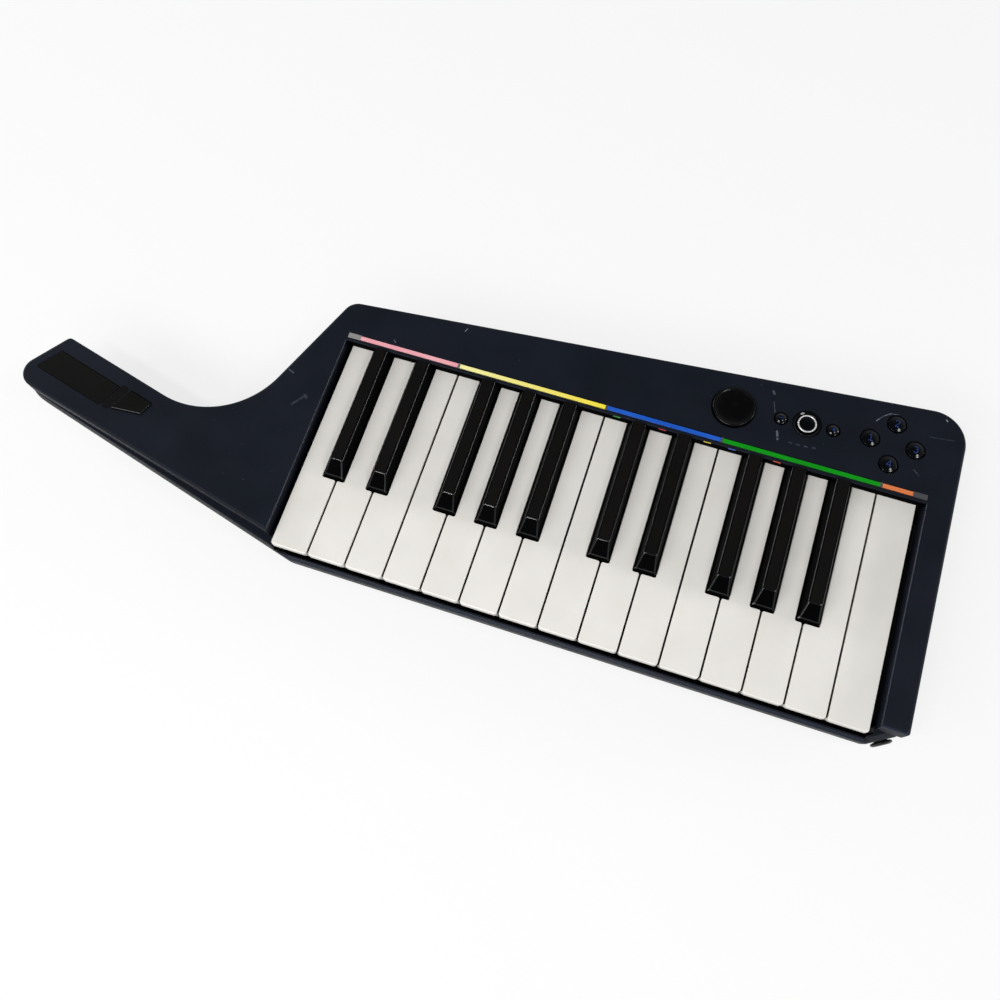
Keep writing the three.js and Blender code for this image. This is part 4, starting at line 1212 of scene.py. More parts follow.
@dataclass(frozen=True)
class LowerCasing:
    """Deep lower casing that thins out under the neck.

    The rows of foot, knots, brim and inner_knots hold a height and how far in the front, the sides and the
    neck's front stand at it.
    """

    rim: float = -5.3
    floor: float = -35.5
    base: float = -38.0
    neck_base: float = -24.0
    softness: float = 4.0
    foot: tuple[Row, ...] = ((-38.0, 9.1, 7.2, 7.2), (-37.88, 8.3, 6.4, 6.4), (-37.62, 7.5, 5.7, 5.7))
    knots: tuple[Row, ...] = (
        (-37.3, 7.0, 5.2, 5.2), (-34.0, 6.0, 3.0, 3.0), (-26.0, 1.5, 1.0, 1.0), (-12.0, 0.0, 0.0, 0.0),
        (-5.9, 3.1, 0.0, 0.9),
    )
    brim: tuple[Row, ...] = ((-5.5, 3.3, 0.05, 0.95), (-5.3, 3.6, 0.3, 1.2))
    inner_knots: tuple[Row, ...] = (
        (-35.5, 6.0, 3.0, 3.0), (-26.0, 1.5, 1.0, 1.0), (-12.0, 0.0, 0.0, 0.0), (0.7, 3.5, 0.0, 1.0),
    )
    ramp_start: float = -62.0
    ramp_run: float = 33.0
    under_edge: float = 1.3
    ledge_low: float = -12.0
    ledge_thickness: float = 2.0
    ledge_front_inset: float = 3.7
    ledge_side_inset: float = 1.4
    ledge_overlap: float = 2.2
    ledge_left: float = -0.6
    ledge_right: float = 356.0
    ledge_back: float = 60.0
    bay_walls: tuple[tuple[Point3, Point3], ...] = (
        ((-3.6, 1.5, -24.0), (-2.6, 58.0, -5.3)), ((-3.6, 4.0, -31.5), (-2.6, 58.0, -23.0)),
    )
    rail_room: tuple[Point3, Point3] = ((0.5, -14.0, -12.3), (353.0, 2.5, 2.0))
    key_room: tuple[Point3, Point3] = ((-0.3, -0.35, -20.5), (353.7, 4.5, 2.0))
    posts: tuple[Point, ...] = (
        (18.0, 80.0), (18.0, 147.0), (176.25, 80.0), (176.25, 147.0), (334.5, 80.0), (334.5, 147.0),
    )
    post_radius: float = 4.0
    post_span: Point = (-36.0, -27.3)
    seat_radius: float = 6.6
    seat_rim: float = 0.8
    seat_room: float = 12.0
    socket_back: float = 120.0
    socket_drop: float = -20.0
    socket_room: float = 8.3
    socket_reach: float = 8.0
    label: tuple[float, float, float, float] = (150.0, 60.0, 220.0, 100.0)
    label_radius: float = 2.0
    label_depth: float = 0.3

    def skin(self, rows: Sequence[Row], extra: float) -> Solid:
        """Body through rows of height and insets, which an extra inset is added to."""
        outline = PLAN.lower()
        rings = []
        for height, front, side, neck in rows:
            insets = [front + extra] * 2 + [side + extra] * 5 + [neck + extra]
            rings.append(outline.ring(insets, height))
        return lofted(rings)

    def under_neck(self, lift: float) -> Solid:
        """Room under the neck, down past the base."""
        right, left = self.ramp_start + lift, self.ramp_start - self.ramp_run + lift
        deep, base, neck = self.base - OVERRUN, self.base + lift, self.neck_base + lift
        return along_keys([(-FAR, deep), (right, deep), (right, base), (left, neck), (-FAR, neck)], -FAR, FAR)

    def build(self, shop: Shop) -> None:
        """Makes the lower casing."""
        outside = self.skin([*self.foot, *eased(self.knots, self.softness), *self.brim], 0.0)
        casing = self.round_under(boolean(outside, self.under_neck(0.0)))
        cavity = self.skin(eased(self.inner_knots, self.softness), KEYS.wall)
        casing = boolean(casing, boolean(cavity, self.under_neck(KEYS.wall)))
        posts = [moved(cylinder(self.post_radius, *self.post_span, 32), (*post, 0.0)) for post in self.posts]
        for added in (*posts, self.ledge(), *(block(*corners) for corners in self.bay_walls)):
            casing = boolean(casing, added, Cut.ADD)
        for room in (self.rail_room, self.key_room):
            casing = boolean(casing, block(*room))
        for seat in peg_seats().values():
            drum = cylinder(self.seat_radius + self.seat_rim, -KEYS.wall, 0.0, 56)
            casing = boolean(casing, moved(drum, seat.place()), Cut.ADD)
            bore = cylinder(self.seat_radius, 0.0, self.seat_room, 56)
            casing = boolean(casing, moved(bore, seat.place()))
        casing = boolean(casing, joined(*self.cutters()))
        shop.finish(
            casing, "lower_casing", "housing", "charcoal_plastic", [CHARCOAL, NAVY], self.ledge_paint,
            ["lower_housing"], 30.0,
        )

    def ledge_paint(self, face: Face) -> int:
        """Finish of a face: the ledge under the front of the top is painted like it."""
        middle, normal = face.calc_center_median(), face.normal
        if normal.z > 0.9:
            return int(abs(middle.z - self.rim) < 0.2)
        if abs(middle.x - self.key_room[0][0]) < 0.35 and middle.y < KEYS.wall:
            return 1
        return int(self.ledge_low < middle.z < self.rim + 0.5 and normal.y < -0.25 and normal.z > 0.05)

    def round_under(self, casing: Solid) -> Solid:
        """Rounds the lower edges of the neck and the ramp."""
        right, left = self.ramp_start, self.ramp_start - self.ramp_run
        casing.normal_update()

        def on_cut(face: Face) -> bool:
            middle = face.calc_center_median()
            on_ramp = left - 0.1 < middle.x < right + 0.1 and middle.z < self.neck_base + 0.1
            under = on_ramp or abs(middle.z - self.neck_base) < 0.05
            return under and face.normal.z < -0.5 and middle.x < right

        def chosen(edge: MeshEdge) -> bool:
            if len(edge.link_faces) != 2 or crease(edge) < 40:
                return False
            above_base = max(vert.co.z for vert in edge.verts) > self.base + 1
            return sum(on_cut(face) for face in edge.link_faces) == 1 and above_base

        return bevelled(casing, chosen, self.under_edge, 4)

    def ledge(self) -> Solid:
        """Plate that closes the gap between the top's front walls and the wider base."""
        low, high = self.rim - self.ledge_thickness, self.rim
        insets = [self.ledge_front_inset] * 2 + [self.ledge_side_inset] * 6
        plate = lofted([PLAN.lower().ring(insets, z) for z in (low, high)])
        within = lofted([PLAN.upper().ring(self.ledge_overlap, z) for z in (low - 1, high + 1)])
        between = block((self.ledge_left, -FAR, low - 2), (self.ledge_right, FAR, high + 2))
        behind = block((-FAR, self.ledge_back, low - 2), (FAR, FAR, high + 2))
        for cut in (within, between, behind):
            plate = boolean(plate, cut)
        return plate

    def cutters(self) -> list[Solid]:
        """Battery bay, socket hole, screw sinks and the blank label's recess."""
        left, front, right, rear = BATTERY.bay()
        bay = block((left, front, self.base - OVERRUN), (right, rear, self.floor + OVERRUN))
        span = (PLAN.lower_right - self.socket_reach, PLAN.lower_right + self.socket_reach)
        socket = rod_across(self.socket_room, span, self.socket_back, self.socket_drop, 64)
        outline, depth = corners_of(rectangle(*self.label), self.label_radius), self.label_depth
        levels = ((-depth, self.base - 3), (-depth, self.base), (0.0, self.base + depth))
        label = lofted([outline.ring(inset, z) for inset, z in levels])
        return [bay, socket, label, *SCREWS.seats()]


@dataclass(frozen=True)
class Battery:
    """Battery bay, its door and the cells."""

    cell_length: float = 50.5
    cell_radius: float = 7.25
    cell_gap: float = 0.5
    end_room: float = 2.2
    nipple: float = 1.0
    right: float = -5.5
    front: float = 22.5
    fit: float = 0.3
    base: float = -38.0
    thickness: float = 2.2
    corner: float = 0.6
    edge: tuple[Point, ...] = ((0.25, 0.0), (0.07, 0.07), (0.0, 0.25))
    tab_width: float = 5.0
    tab_reach: float = 3.5
    tab_thickness: float = 1.7
    tab_chamfer: float = 0.4
    tab_root: float = 0.05
    grip: tuple[Point, ...] = ((0.0, -1.0), (1.1, -1.0), (0.8, 0.45), (0.3, 0.45))
    grip_count: int = 6
    grip_pitch: float = 2.2
    grip_from: float = 7.0
    grip_half: float = 8.0

    def bay(self) -> tuple[float, float, float, float]:
        """Left, front, right and rear of the bay."""
        length = self.cell_length + self.nipple + self.end_room * 2
        width = 2 * (self.cell_radius * 2 + self.cell_gap) + self.cell_gap
        return (self.right - length, self.front, self.right, self.front + width)

    def build(self, shop: Shop) -> None:
        """Makes the door with its grip ridges and its tab."""
        left, front, right, rear = self.bay()
        fit, base, middle = self.fit, self.base, (front + rear) / 2
        outline = corners_of(rectangle(left + fit, front + fit, right - fit, rear - fit), self.corner)
        levels = (*self.edge, (0.0, self.thickness))
        door = lofted([outline.ring(inset, base + rise) for inset, rise in levels])
        for step in range(self.grip_count):
            x = right - self.grip_from - step * self.grip_pitch
            profile = [(x + across, base + up) for across, up in self.grip]
            door = boolean(door, along_keys(profile, middle - self.grip_half, middle + self.grip_half))
        low = base + KEYS.wall + fit
        high, inner = low + self.tab_thickness, right - fit
        root = base + self.thickness - self.tab_root
        start, end = inner - self.tab_reach, inner + self.tab_reach
        profile = [(start, root), (inner, root), (inner, low), (end - self.tab_chamfer, low)]
        profile += [(end, low + self.tab_chamfer), (end, high), (start, high)]
        tab = along_keys(profile, middle - self.tab_width / 2, middle + self.tab_width / 2)
        shop.finish(
            boolean(door, tab, Cut.ADD), "battery_cover", "battery_door", "charcoal_plastic", [CHARCOAL],
            replaces=["battery_door"], smooth=30.0,
        )


BATTERY = Battery()


@dataclass(frozen=True)
class KeyWorks:
    """Tail, hinge boss and plunger of a key, and the bore of its rod."""

    body_end: float = 139.0
    pivot: float = 147.0
    pivot_height: float = -8.0
    boss: float = 4.5
    tail_width: float = 9.0
    tail_top: float = -1.0
    tail_chamfer: float = 1.0
    key_wall: float = 1.8
    top_wall: float = 2.2
    bore: float = 2.38
    bore_half: float = 16.0
    plunger_at: float = 100.0
    plunger_width: float = 6.0
    plunger_thickness: float = 3.0
    plunger_low: float = -17.0
    plunger_round: float = 0.4

    def add_to(self, key: Solid, x: float) -> Solid:
        """Joins the works to a key whose middle is at x, and bores it."""
        half, foot, top = self.tail_width / 2, self.pivot_height - self.boss, self.tail_top
        start, end, chamfer = self.body_end - self.key_wall, self.pivot + self.boss, self.tail_chamfer
        heel = [(end - inset, foot + drop) for inset, drop in reversed(quarter_round(self.boss, 6))]
        profile = [(start, foot), *heel, (end, top - chamfer), (end - chamfer, top), (start, top)]
        key = boolean(key, across_keys(profile, x - half, x + half), Cut.ADD)
        wide, thick, low = self.plunger_width / 2, self.plunger_thickness / 2, self.plunger_low
        y = self.plunger_at
        plunger = block((x - wide, y - thick, low), (x + wide, y + thick, -self.top_wall / 2))
        plunger = bevelled(plunger, lambda edge: level(edge, low), self.plunger_round, 2)
        key = boolean(key, plunger, Cut.ADD)
        span = (x - self.bore_half, x + self.bore_half)
        return boolean(key, rod_across(self.bore, span, self.pivot, self.pivot_height, 32))


WORKS = KeyWorks()


@dataclass(frozen=True)
class BlackPlace:
    """A black key of the octave: how many white keys stand before it and how far it is off their gap."""

    name: str
    whites: int
    nudge: float


OCTAVE = (
    BlackPlace("c_sharp", 1, -2.1), BlackPlace("d_sharp", 2, 2.1), BlackPlace("f_sharp", 4, -2.3),
    BlackPlace("g_sharp", 5, 0.0), BlackPlace("a_sharp", 6, 2.3),
)
WHITE_NAMES = ("c", "d", "e", "f", "g", "a", "b")


def black_centres() -> dict[str, tuple[int, float]]:
    """For each black key the number of white keys before it, and its middle."""
    centres = {}
    for octave in range(2):
        for key in OCTAVE:
            before = octave * 7 + key.whites
            centres[f"key_{key.name}_{octave + 1}"] = (before, before * KEYS.pitch + key.nudge)
    return centres


@dataclass(frozen=True)
class WhiteKeys:
    """White keys with rounded edges, a lip at the front and a hollow underneath."""

    depth: float = 13.0
    corner: float = 1.8
    front_round: float = 1.1
    side_round: float = 0.3
    drop: float = 0.8
    notch: float = 14.0
    notch_front: float = 48.3
    notch_round: float = 1.0
    rear_round: float = 1.1
    foot: float = 0.2
    draft: float = 0.1
    lip: float = 5.0
    setback: float = 2.0

    def outline(self, left_edge: float, right_edge: float) -> Outline:
        """Outline from the front edge on, anticlockwise, with the notches for black keys."""
        left, right = KEYS.gap / 2 + self.draft, KEYS.pitch - KEYS.gap / 2 - self.draft
        left_edge, right_edge = max(left_edge, left), min(right_edge, right)
        corners = [(left, 0.0, self.corner), (right, 0.0, self.corner)]
        if right_edge < right:
            corners += [(x, self.notch_front, self.notch_round) for x in (right, right_edge)]
        corners += [(x, WORKS.body_end, self.rear_round) for x in (right_edge, left_edge)]
        if left_edge > left:
            corners += [(x, self.notch_front, self.notch_round) for x in (left_edge, left)]
        return looped([corner[:2] for corner in corners], [corner[2] for corner in corners], 0.35, 0.3)

    def build_key(self, shop: Shop, name: str, x: float, left_edge: float, right_edge: float) -> None:
        """Makes one white key.

        Args:
            shop: Puts the key in the frame.
            name: The key's node and body.
            x: Left end of its share of the keyboard.
            left_edge: Left side of its rear part.
            right_edge: Right side of its rear part.
        """
        outline = self.outline(left_edge, right_edge)
        rings = [outline.ring(self.foot, -self.depth), outline.ring(0.0, -self.depth + self.foot)]
        for inset, drop in quarter_round(1.0, 6):
            insets = [self.front_round * inset, *([self.side_round * inset] * (len(outline.corners) - 1))]
            rings.append(outline.ring(insets, -self.drop * drop))
        key = lofted(rings)
        left, right, wall = KEYS.gap / 2, KEYS.pitch - KEYS.gap / 2, WORKS.key_wall
        deep, roof, setback, lip = -self.depth - OVERRUN, -WORKS.top_wall, self.setback, -self.lip
        front = block((left + wall, setback + wall, deep), (right - wall, self.notch_front - wall, roof))
        rear_corner = (right_edge - wall, WORKS.body_end - wall, roof)
        rear = block((left_edge + wall, self.notch_front - wall * 2, deep), rear_corner)
        key = boolean(key, boolean(front, rear, Cut.ADD))
        under = [(-OVERRUN, deep), (setback, deep), (setback, lip - 0.3), (setback - 0.3, lip)]
        under += [(0.6, lip), (0.25, lip + 0.12), (0.0, lip + 0.6), (-OVERRUN, lip + 0.6)]
        key = boolean(key, across_keys(under, left - 2, right + 2))
        key = moved(WORKS.add_to(key, (left_edge + right_edge) / 2), (x, 0.0, 0.0))

        # Flanks below the top's rounding take the painted shade of the gaps
        def side(face: Face) -> int:
            middle = face.calc_center_median()
            return int(abs(face.normal.x) > 0.7 and middle.z < -self.drop - 0.02 and middle.y > self.corner)

        shop.finish(key, f"{name}_cap", name, "white_key", [IVORY, IVORY_SIDE], side, [name], smooth=50.0)

    def build(self, shop: Shop) -> None:
        """Makes every white key."""
        blacks = dict(black_centres().values())
        half = self.notch / 2
        for number in range(KEYS.white_count):
            x = number * KEYS.pitch
            left = blacks[number] + half - x if number in blacks else KEYS.gap / 2
            right = blacks[number + 1] - half - x if number + 1 in blacks else KEYS.pitch - KEYS.gap / 2
            self.build_key(shop, f"key_{WHITE_NAMES[number % 7]}_{number // 7 + 1}", x, left, right)


@dataclass(frozen=True)
class BlackKeys:
    """Black keys: a sloped and polished front, leaning sides and an etched top."""

    width: float = 13.2
    shoulder_width: float = 8.0
    top_width: float = 6.3
    front: float = 49.2
    rear: float = 134.7
    rim: float = 1.2
    height: float = 9.0
    shoulder_drop: float = 0.7
    slope_run: float = 9.3
    depth: float = 13.0
    corner: float = 1.1
    rear_corner: float = 0.4
    root: float = -2.2
    foot: float = 0.3
    rounding: float = 0.42
    ledge: float = 0.9

    def rows(self) -> list[Row]:
        """Height, half width and front of the levels, with softened bends."""
        low, shoulder, half = self.rim, self.height - self.shoulder_drop, self.width / 2
        share = (shoulder - low) / (self.height - low)
        top = (self.height, self.top_width / 2, self.front + self.slope_run + self.shoulder_drop)
        knots = [
            (self.foot, half, self.front),
            (low, half, self.front),
            (low + self.ledge, half - self.ledge, self.front + self.ledge),
            (shoulder, self.shoulder_width / 2, self.front + self.slope_run * share),
            top,
        ]
        waist = [row for row in eased(knots, self.rounding, 5) if row[0] < self.height - 1e-6]
        return [(self.root, half, self.front), *waist, top]

    def level_ring(self, row: Row) -> list[Point3]:
        """Ring of one level, with rounded front corners."""
        height, half, front = row
        radii = (self.corner, self.corner, self.rear_corner, self.rear_corner)
        return looped(rectangle(-half, front, half, self.rear), radii, 0.35, 0.3).ring(0.0, height)

    def polish(self, face: Face) -> int:
        """Finish of a face: etched on top, polished on the rounded edges and satin on the flanks."""
        height, normal = face.calc_center_median().z, face.normal
        shoulder = self.height - self.shoulder_drop
        if normal.z > 0.97 and height > self.height - 0.1:
            return 2
        on_shoulder = abs(height - shoulder) < self.rounding * 0.9 and abs(normal.x) > 0.6
        on_corner = normal.y < -0.2 and abs(normal.x) > 0.2 and height > self.rim
        on_brow = normal.y < -0.1 and height > self.height - self.rounding
        on_ledge = normal.y < -0.2 and abs(height - self.rim - self.ledge) < self.rounding * 0.8
        return int(on_shoulder or on_corner or on_brow or on_ledge)

    def build(self, shop: Shop) -> None:
        """Makes every black key."""
        half, wall, deep = self.width / 2, WORKS.key_wall, -self.depth

        def upright(edge: MeshEdge) -> bool:
            low, high = (vert.co for vert in edge.verts)
            return abs(low.z - high.z) > 1 and low.y < self.front + 1

        for name, (_, centre) in black_centres().items():
            head = lofted([self.level_ring(row) for row in self.rows()])
            foot = block((-half, self.front, deep), (half, WORKS.body_end, 0.0))
            key = boolean(head, bevelled(foot, upright, self.corner, 5), Cut.ADD)
            roof_corner = (half - wall, WORKS.body_end - wall, -WORKS.top_wall)
            hollow = block((wall - half, self.front + wall, deep - OVERRUN), roof_corner)
            key = moved(WORKS.add_to(boolean(key, hollow), 0.0), (centre, 0.0, 0.0))
            finishes = [BLACK_SATIN, BLACK_GLOSS, BLACK_MATT]
            shop.finish(key, f"{name}_cap", name, "black_key", finishes, self.polish, [name], 40.0)


@dataclass(frozen=True)
class FrontRail:
    """Stepped rail under the keys' front edges, cut to the lower casing's outline."""

    low: float = -12.0
    high: float = -8.5
    front: float = -4.1
    step_at: float = -2.7
    back: float = -1.5
    left: float = 0.8
    right: float = 352.7
    step: float = 1.2
    rounding: float = 0.4
    inset: float = 0.05

    def build(self, shop: Shop) -> None:
        """Makes the rail, with rounded upper edges."""
        profile = [(self.front, self.low), (self.back, self.low), (self.back, self.high)]
        rounding = list(reversed(quarter_round(self.rounding, 4)))
        for edge, top in ((self.step_at, self.high), (self.front, self.high - self.step)):
            profile += [(edge + inset, top - drop) for inset, drop in rounding]
        rail = across_keys(profile, self.left, self.right)
        within = lofted([PLAN.lower().ring(self.inset, z) for z in (self.low - 1, self.high + 1)])
        rail = boolean(rail, within, Cut.KEEP)

        # Rounded edges take the glossier edge paint, a little lighter as a painted highlight
        def rounded(face: Face) -> int:
            return int(0.05 < face.normal.z < 0.95)

        shop.finish(rail, "key_rail", "housing", "navy_plastic", [NAVY, NAVY_EDGE], rounded, ["front_rail"])


@dataclass(frozen=True)
class StripPieces:
    """Coloured bars behind the keys, the grey carrier between them and the marks on the well's wall."""

    rounding: float = 0.2
    corner: float = 0.3
    side_gap: float = 0.5
    fit: float = 0.05
    edge: float = 0.12
    end_room: float = 0.1
    tooth_room: float = 0.08
    carrier_top: float = 6.95
    mark_size: tuple[float, float] = (4.4, 1.1)
    mark_height: float = 6.15
    mark_span: Point = (-0.04, 0.03)
    marks: tuple[tuple[float, str, str], ...] = (
        (172.0, "#1f9a3a", "print_green"), (200.0, "#c8263a", "print_red"),
        (227.3, "#e6d23a", "print_yellow"), (242.2, "#2a5cc4", "print_blue"),
        (268.9, "#e2532c", "print_orange"),
    )

    def build(self, shop: Shop) -> None:
        """Makes the bars, the carrier and the marks."""
        groove_floor = KEYS.panel - STRIP.depth
        bar_low = groove_floor + STRIP.fit
        front, rear = STRIP.front + self.side_gap, STRIP.rear - self.side_gap
        for (name, finish), (left, right) in zip(BAR_FINISHES.items(), STRIP.spans()):
            outline = corners_of(rectangle(left, front, right, rear), self.corner)
            bar = lofted([outline.ring(0.0, bar_low), *outline.crown(self.rounding, KEYS.panel, 4)])
            node = f"colour_strip_{name}"
            shop.finish(bar, f"{node}_bar", "housing", f"strip_{name}", [finish], replaces=[node])
        self.build_carrier(shop, groove_floor + self.fit, bar_low - self.fit)
        self.build_marks(shop)

    def build_carrier(self, shop: Shop, bottom: float, seat: float) -> None:
        """Makes the carrier as a comb whose teeth stand between the bars."""
        top, room = self.carrier_top, self.tooth_room
        left, right = KEYS.well_left + self.end_room, KEYS.well_right - self.end_room
        profile = [(left, bottom), (right, bottom), (right, top)]
        for start, end in reversed(STRIP.spans()):
            profile += [(end + room, top), (end + room, seat), (start - room, seat), (start - room, top)]
        profile.append((left, top))
        comb = along_keys(profile, STRIP.front + self.edge, STRIP.rear - self.edge)
        comb = bevelled(comb, lambda edge: level(edge, top) and edge.calc_length() > 1.6, self.edge, 2)
        shop.finish(comb, "strip_carrier", "housing", "charcoal_plastic", [CARRIER])

    def build_marks(self, shop: Shop) -> None:
        """Makes the small printed marks on the well's rear wall."""
        (half, high), (back, front) = (tuple(size / 2 for size in self.mark_size)), self.mark_span
        wall, middle = KEYS.white_length, self.mark_height
        solids = [
            block((x - half, wall + back, middle - high), (x + half, wall + front, middle + high))
            for x, _, _ in self.marks
        ]
        finishes = [
            Finish(name, colour, colour, 0.35, 0.45, patch_mm=2.0, grain_depth_mm=0.002)
            for _, colour, name in self.marks
        ]

        def nearest(face: Face) -> int:
            middle = face.calc_center_median().x
            return min(range(len(self.marks)), key=lambda number: abs(self.marks[number][0] - middle))

        shop.finish(joined(*solids), "well_marks", "housing", "navy_plastic", finishes, nearest)


# Dyed acrylic bars: the colour sits in the plastic, so it stays deep under the reflections
BAR_FINISHES = {
    name: DyedPlastic(
        material, colour, patch_colour, 0.24, 0.34, patch_mm, grain_depth_mm=0.003, reflection_colour=reflected,
        fade_from=70.0, fade_to=165.0,
    )
    for name, material, colour, patch_colour, patch_mm, reflected in (
        ("red", "faded_pink_acrylic", "#efa5ad", "#f2b1b8", 25.0, ""),
        # The yellow bar is painted paler towards the low notes: a painted reflection
        ("yellow", "yellow_dyed_acrylic", "#f8e53b", "#f5df32", 45.0, "#f8f3a8"),
        ("blue", "blue_dyed_acrylic", "#1a55bd", "#225fc8", 25.0, ""),
        ("green", "green_dyed_acrylic", "#048f10", "#089815", 25.0, ""),
        ("orange", "faded_orange_acrylic", "#da7540", "#de8350", 15.0, ""),
    )
}


@dataclass(frozen=True)
class Dome:
    """Crown of a round cap: a shallow dome with a rounded rim."""

    radius: float
    low: float
    top: float
    rise: float = 1.35
    rim: float = 0.2

    def height(self, reach: float) -> float:
        """Height of the crown at a distance from its middle."""
        inner = self.radius - self.rim
        crown = self.rise - self.rim
        if reach <= inner:
            return self.top - crown * (reach / inner) ** 2
        share = min((reach - inner) / self.rim, 1.0)
        return self.top - crown - self.rim * (1 - math.sqrt(1 - share * share))

    def profile(self) -> list[Point]:
        """Profile of the crown, from its foot to its middle."""
        inner = self.radius - self.rim
        rim = [inner + self.rim * math.cos(QUARTER * step / 6) for step in range(7)]
        reaches = [*rim, *(inner * (1 - step / 8) for step in range(1, 9))]
        return [(reach, self.height(reach)) for reach in reaches]


def stroke(path: Sequence[Point], width: float, height: Callable[[float], float]) -> Solid:
    """Printed line that follows a crown.

    Args:
        path: Points of the line, about the crown's middle.
        width: Width of the line.
        height: Height of the crown at a distance from its middle.

    Returns:
        The closed body of the print.
    """
    step_length, lift, sunk = 0.35, 0.02, 0.13
    points = [Vector(path[0])]
    for end in map(Vector, path[1:]):
        start = points[-1]
        count = max(1, math.ceil((end - start).length / step_length))
        points += [start.lerp(end, step / count) for step in range(1, count + 1)]
    solid = bmesh.new()
    rings = []
    for number, point in enumerate(points):
        way = (points[min(number + 1, len(points) - 1)] - points[max(number - 1, 0)]).normalized()
        side = Vector((-way.y, way.x)) * width / 2
        ends = (point + side, point - side)
        tops = [(end.x, end.y, height(end.length) + lift) for end in ends]
        lows = [(end.x, end.y, height(end.length) - sunk) for end in reversed(ends)]
        rings.append([solid.verts.new(place) for place in (*tops, *lows)])
    for ring, after in zip(rings, rings[1:]):
        for number in range(4):
            other = (number + 1) % 4
            solid.faces.new((ring[number], ring[other], after[other], after[number]))
    solid.faces.new(rings[0])
    solid.faces.new(tuple(reversed(rings[-1])))
    bmesh.ops.recalc_face_normals(solid, faces=solid.faces)
    return solid


def arc(x: float, y: float, radius: float, start: float, end: float, steps: int = 10) -> list[Point]:
    """Points along an arc, its ends in degrees."""
    turns = [math.radians(start + (end - start) * step / steps) for step in range(steps + 1)]
    return [(x + radius * math.cos(turn), y + radius * math.sin(turn)) for turn in turns]


# Signs drawn as lines in millimetres about a button's middle
SIGNS: dict[str, list[list[Point]]] = {
    "minus_button": [[(-1.3, 0.0), (1.3, 0.0)]],
    "plus_button": [[(-1.3, 0.0), (1.3, 0.0)], [(0.0, -1.3), (0.0, 1.3)]],
    "button_1": [[(-1.0, 1.1), (0.2, 2.0), (0.2, -2.0)], [(-1.0, -2.0), (1.3, -2.0)]],
    "button_2": [[*arc(0.0, 0.85, 1.15, 170.0, -35.0), (-1.2, -1.95), (1.3, -1.95)]],
    "button_3": [[*arc(0.0, 0.95, 1.0, 160.0, -90.0)], [*arc(0.0, -0.95, 1.05, 90.0, -160.0)]],
    "button_4": [[(0.6, -2.0), (0.6, 2.0), (-1.4, -0.9), (1.5, -0.9)]],
}


@dataclass(frozen=True)
class RoundButtons:
    """Round buttons with their printed signs, and the ring round the home button."""

    flange: float = 1.2
    flange_edge: float = 0.2
    flange_low: float = 2.9
    flange_top: float = 4.2
    line: float = 0.55
    ledge: float = 0.6
    shoulder: tuple[Point, ...] = ((0.0, -1.0), (-0.2, -0.7))
    ring_out: float = -0.65
    ring_in: float = -1.5
    ring_foot: float = -0.6
    ring_height: float = 0.35
    dish_foot: float = -0.5
    dish_rise: float = 0.45
    bezel: tuple[Point, ...] = (
        (6.65, -0.78), (8.6, -0.78), (8.6, -0.1), (8.5, 0.02), (8.1, 0.05), (7.7, -0.05), (6.8, -0.42),
        (6.65, -0.52),
    )

    def build(self, shop: Shop) -> None:
        """Makes the buttons, their signs and the home button's bezel."""
        top = KEYS.panel + CONTROLS.button_rise
        low, high, edge = self.flange_low, self.flange_top, self.flange_edge
        for name, (place, radius) in CONTROLS.buttons().items():
            spot, wide = (*place, 0.0), radius + self.flange
            if name == "home_button":
                self.build_home(shop, spot, radius, top)
                continue
            dome = Dome(radius - self.ledge, high, top)
            profile = [(0.0, low), (wide - edge, low), (wide, low + edge), (wide, high), (dome.radius, high)]
            cap = turned([*profile, *dome.profile()], 72)
            shop.finish(moved(cap, spot), f"{name}_cap", name, "black_button", [CAP_GLOSS], replaces=[name])
            signs = joined(*(stroke(path, self.line, dome.height) for path in SIGNS[name]))
            shop.finish(moved(signs, spot), f"{name}_sign", name, "black_button", [SIGN_BLUE])

    def build_home(self, shop: Shop, spot: Point3, radius: float, top: float) -> None:
        """Makes the home button, with its plated ring, and the black bezel that it sits in."""
        low, high, wide = self.flange_low, self.flange_top, radius + self.flange
        outer, inner, height = radius + self.ring_out, radius + self.ring_in, top - self.ring_height
        middle, half, dish = (outer + inner) / 2, (outer - inner) / 2, top + self.dish_foot
        profile = [(0.0, low), (wide, low), (wide, high), (radius, high)]
        profile += [(radius + across, top + up) for across, up in self.shoulder]
        profile += [(outer, top + self.ring_foot), (outer, height)]
        for step in range(1, 12):
            turn = math.pi * step / 12
            profile.append((middle + half * math.cos(turn), height + self.ring_height * math.sin(turn)))
        profile += [(inner, height), (inner, dish)]
        for step in range(1, 9):
            share = 1 - step / 8
            profile.append((inner * share, dish + self.dish_rise * (1 - share ** 2)))

        def plated(face: Face) -> int:
            place = face.calc_center_median()
            reach = math.hypot(place.x - spot[0], place.y - spot[1])
            return int(inner - 0.02 < reach < outer + 0.02 and place.z > top + self.ring_foot - 0.02)

        home, nodes = moved(turned(profile, 96), spot), ["home_button"]
        shop.finish(home, "home_button_cap", "home_button", "home_chrome", [CAP_GLOSS, CHROME], plated, nodes)
        bezel = moved(turned(self.bezel, 96, closed=True), (*spot[:2], KEYS.panel))
        shop.finish(bezel, "home_bezel", "housing", "black_button", [CAP_GLOSS])


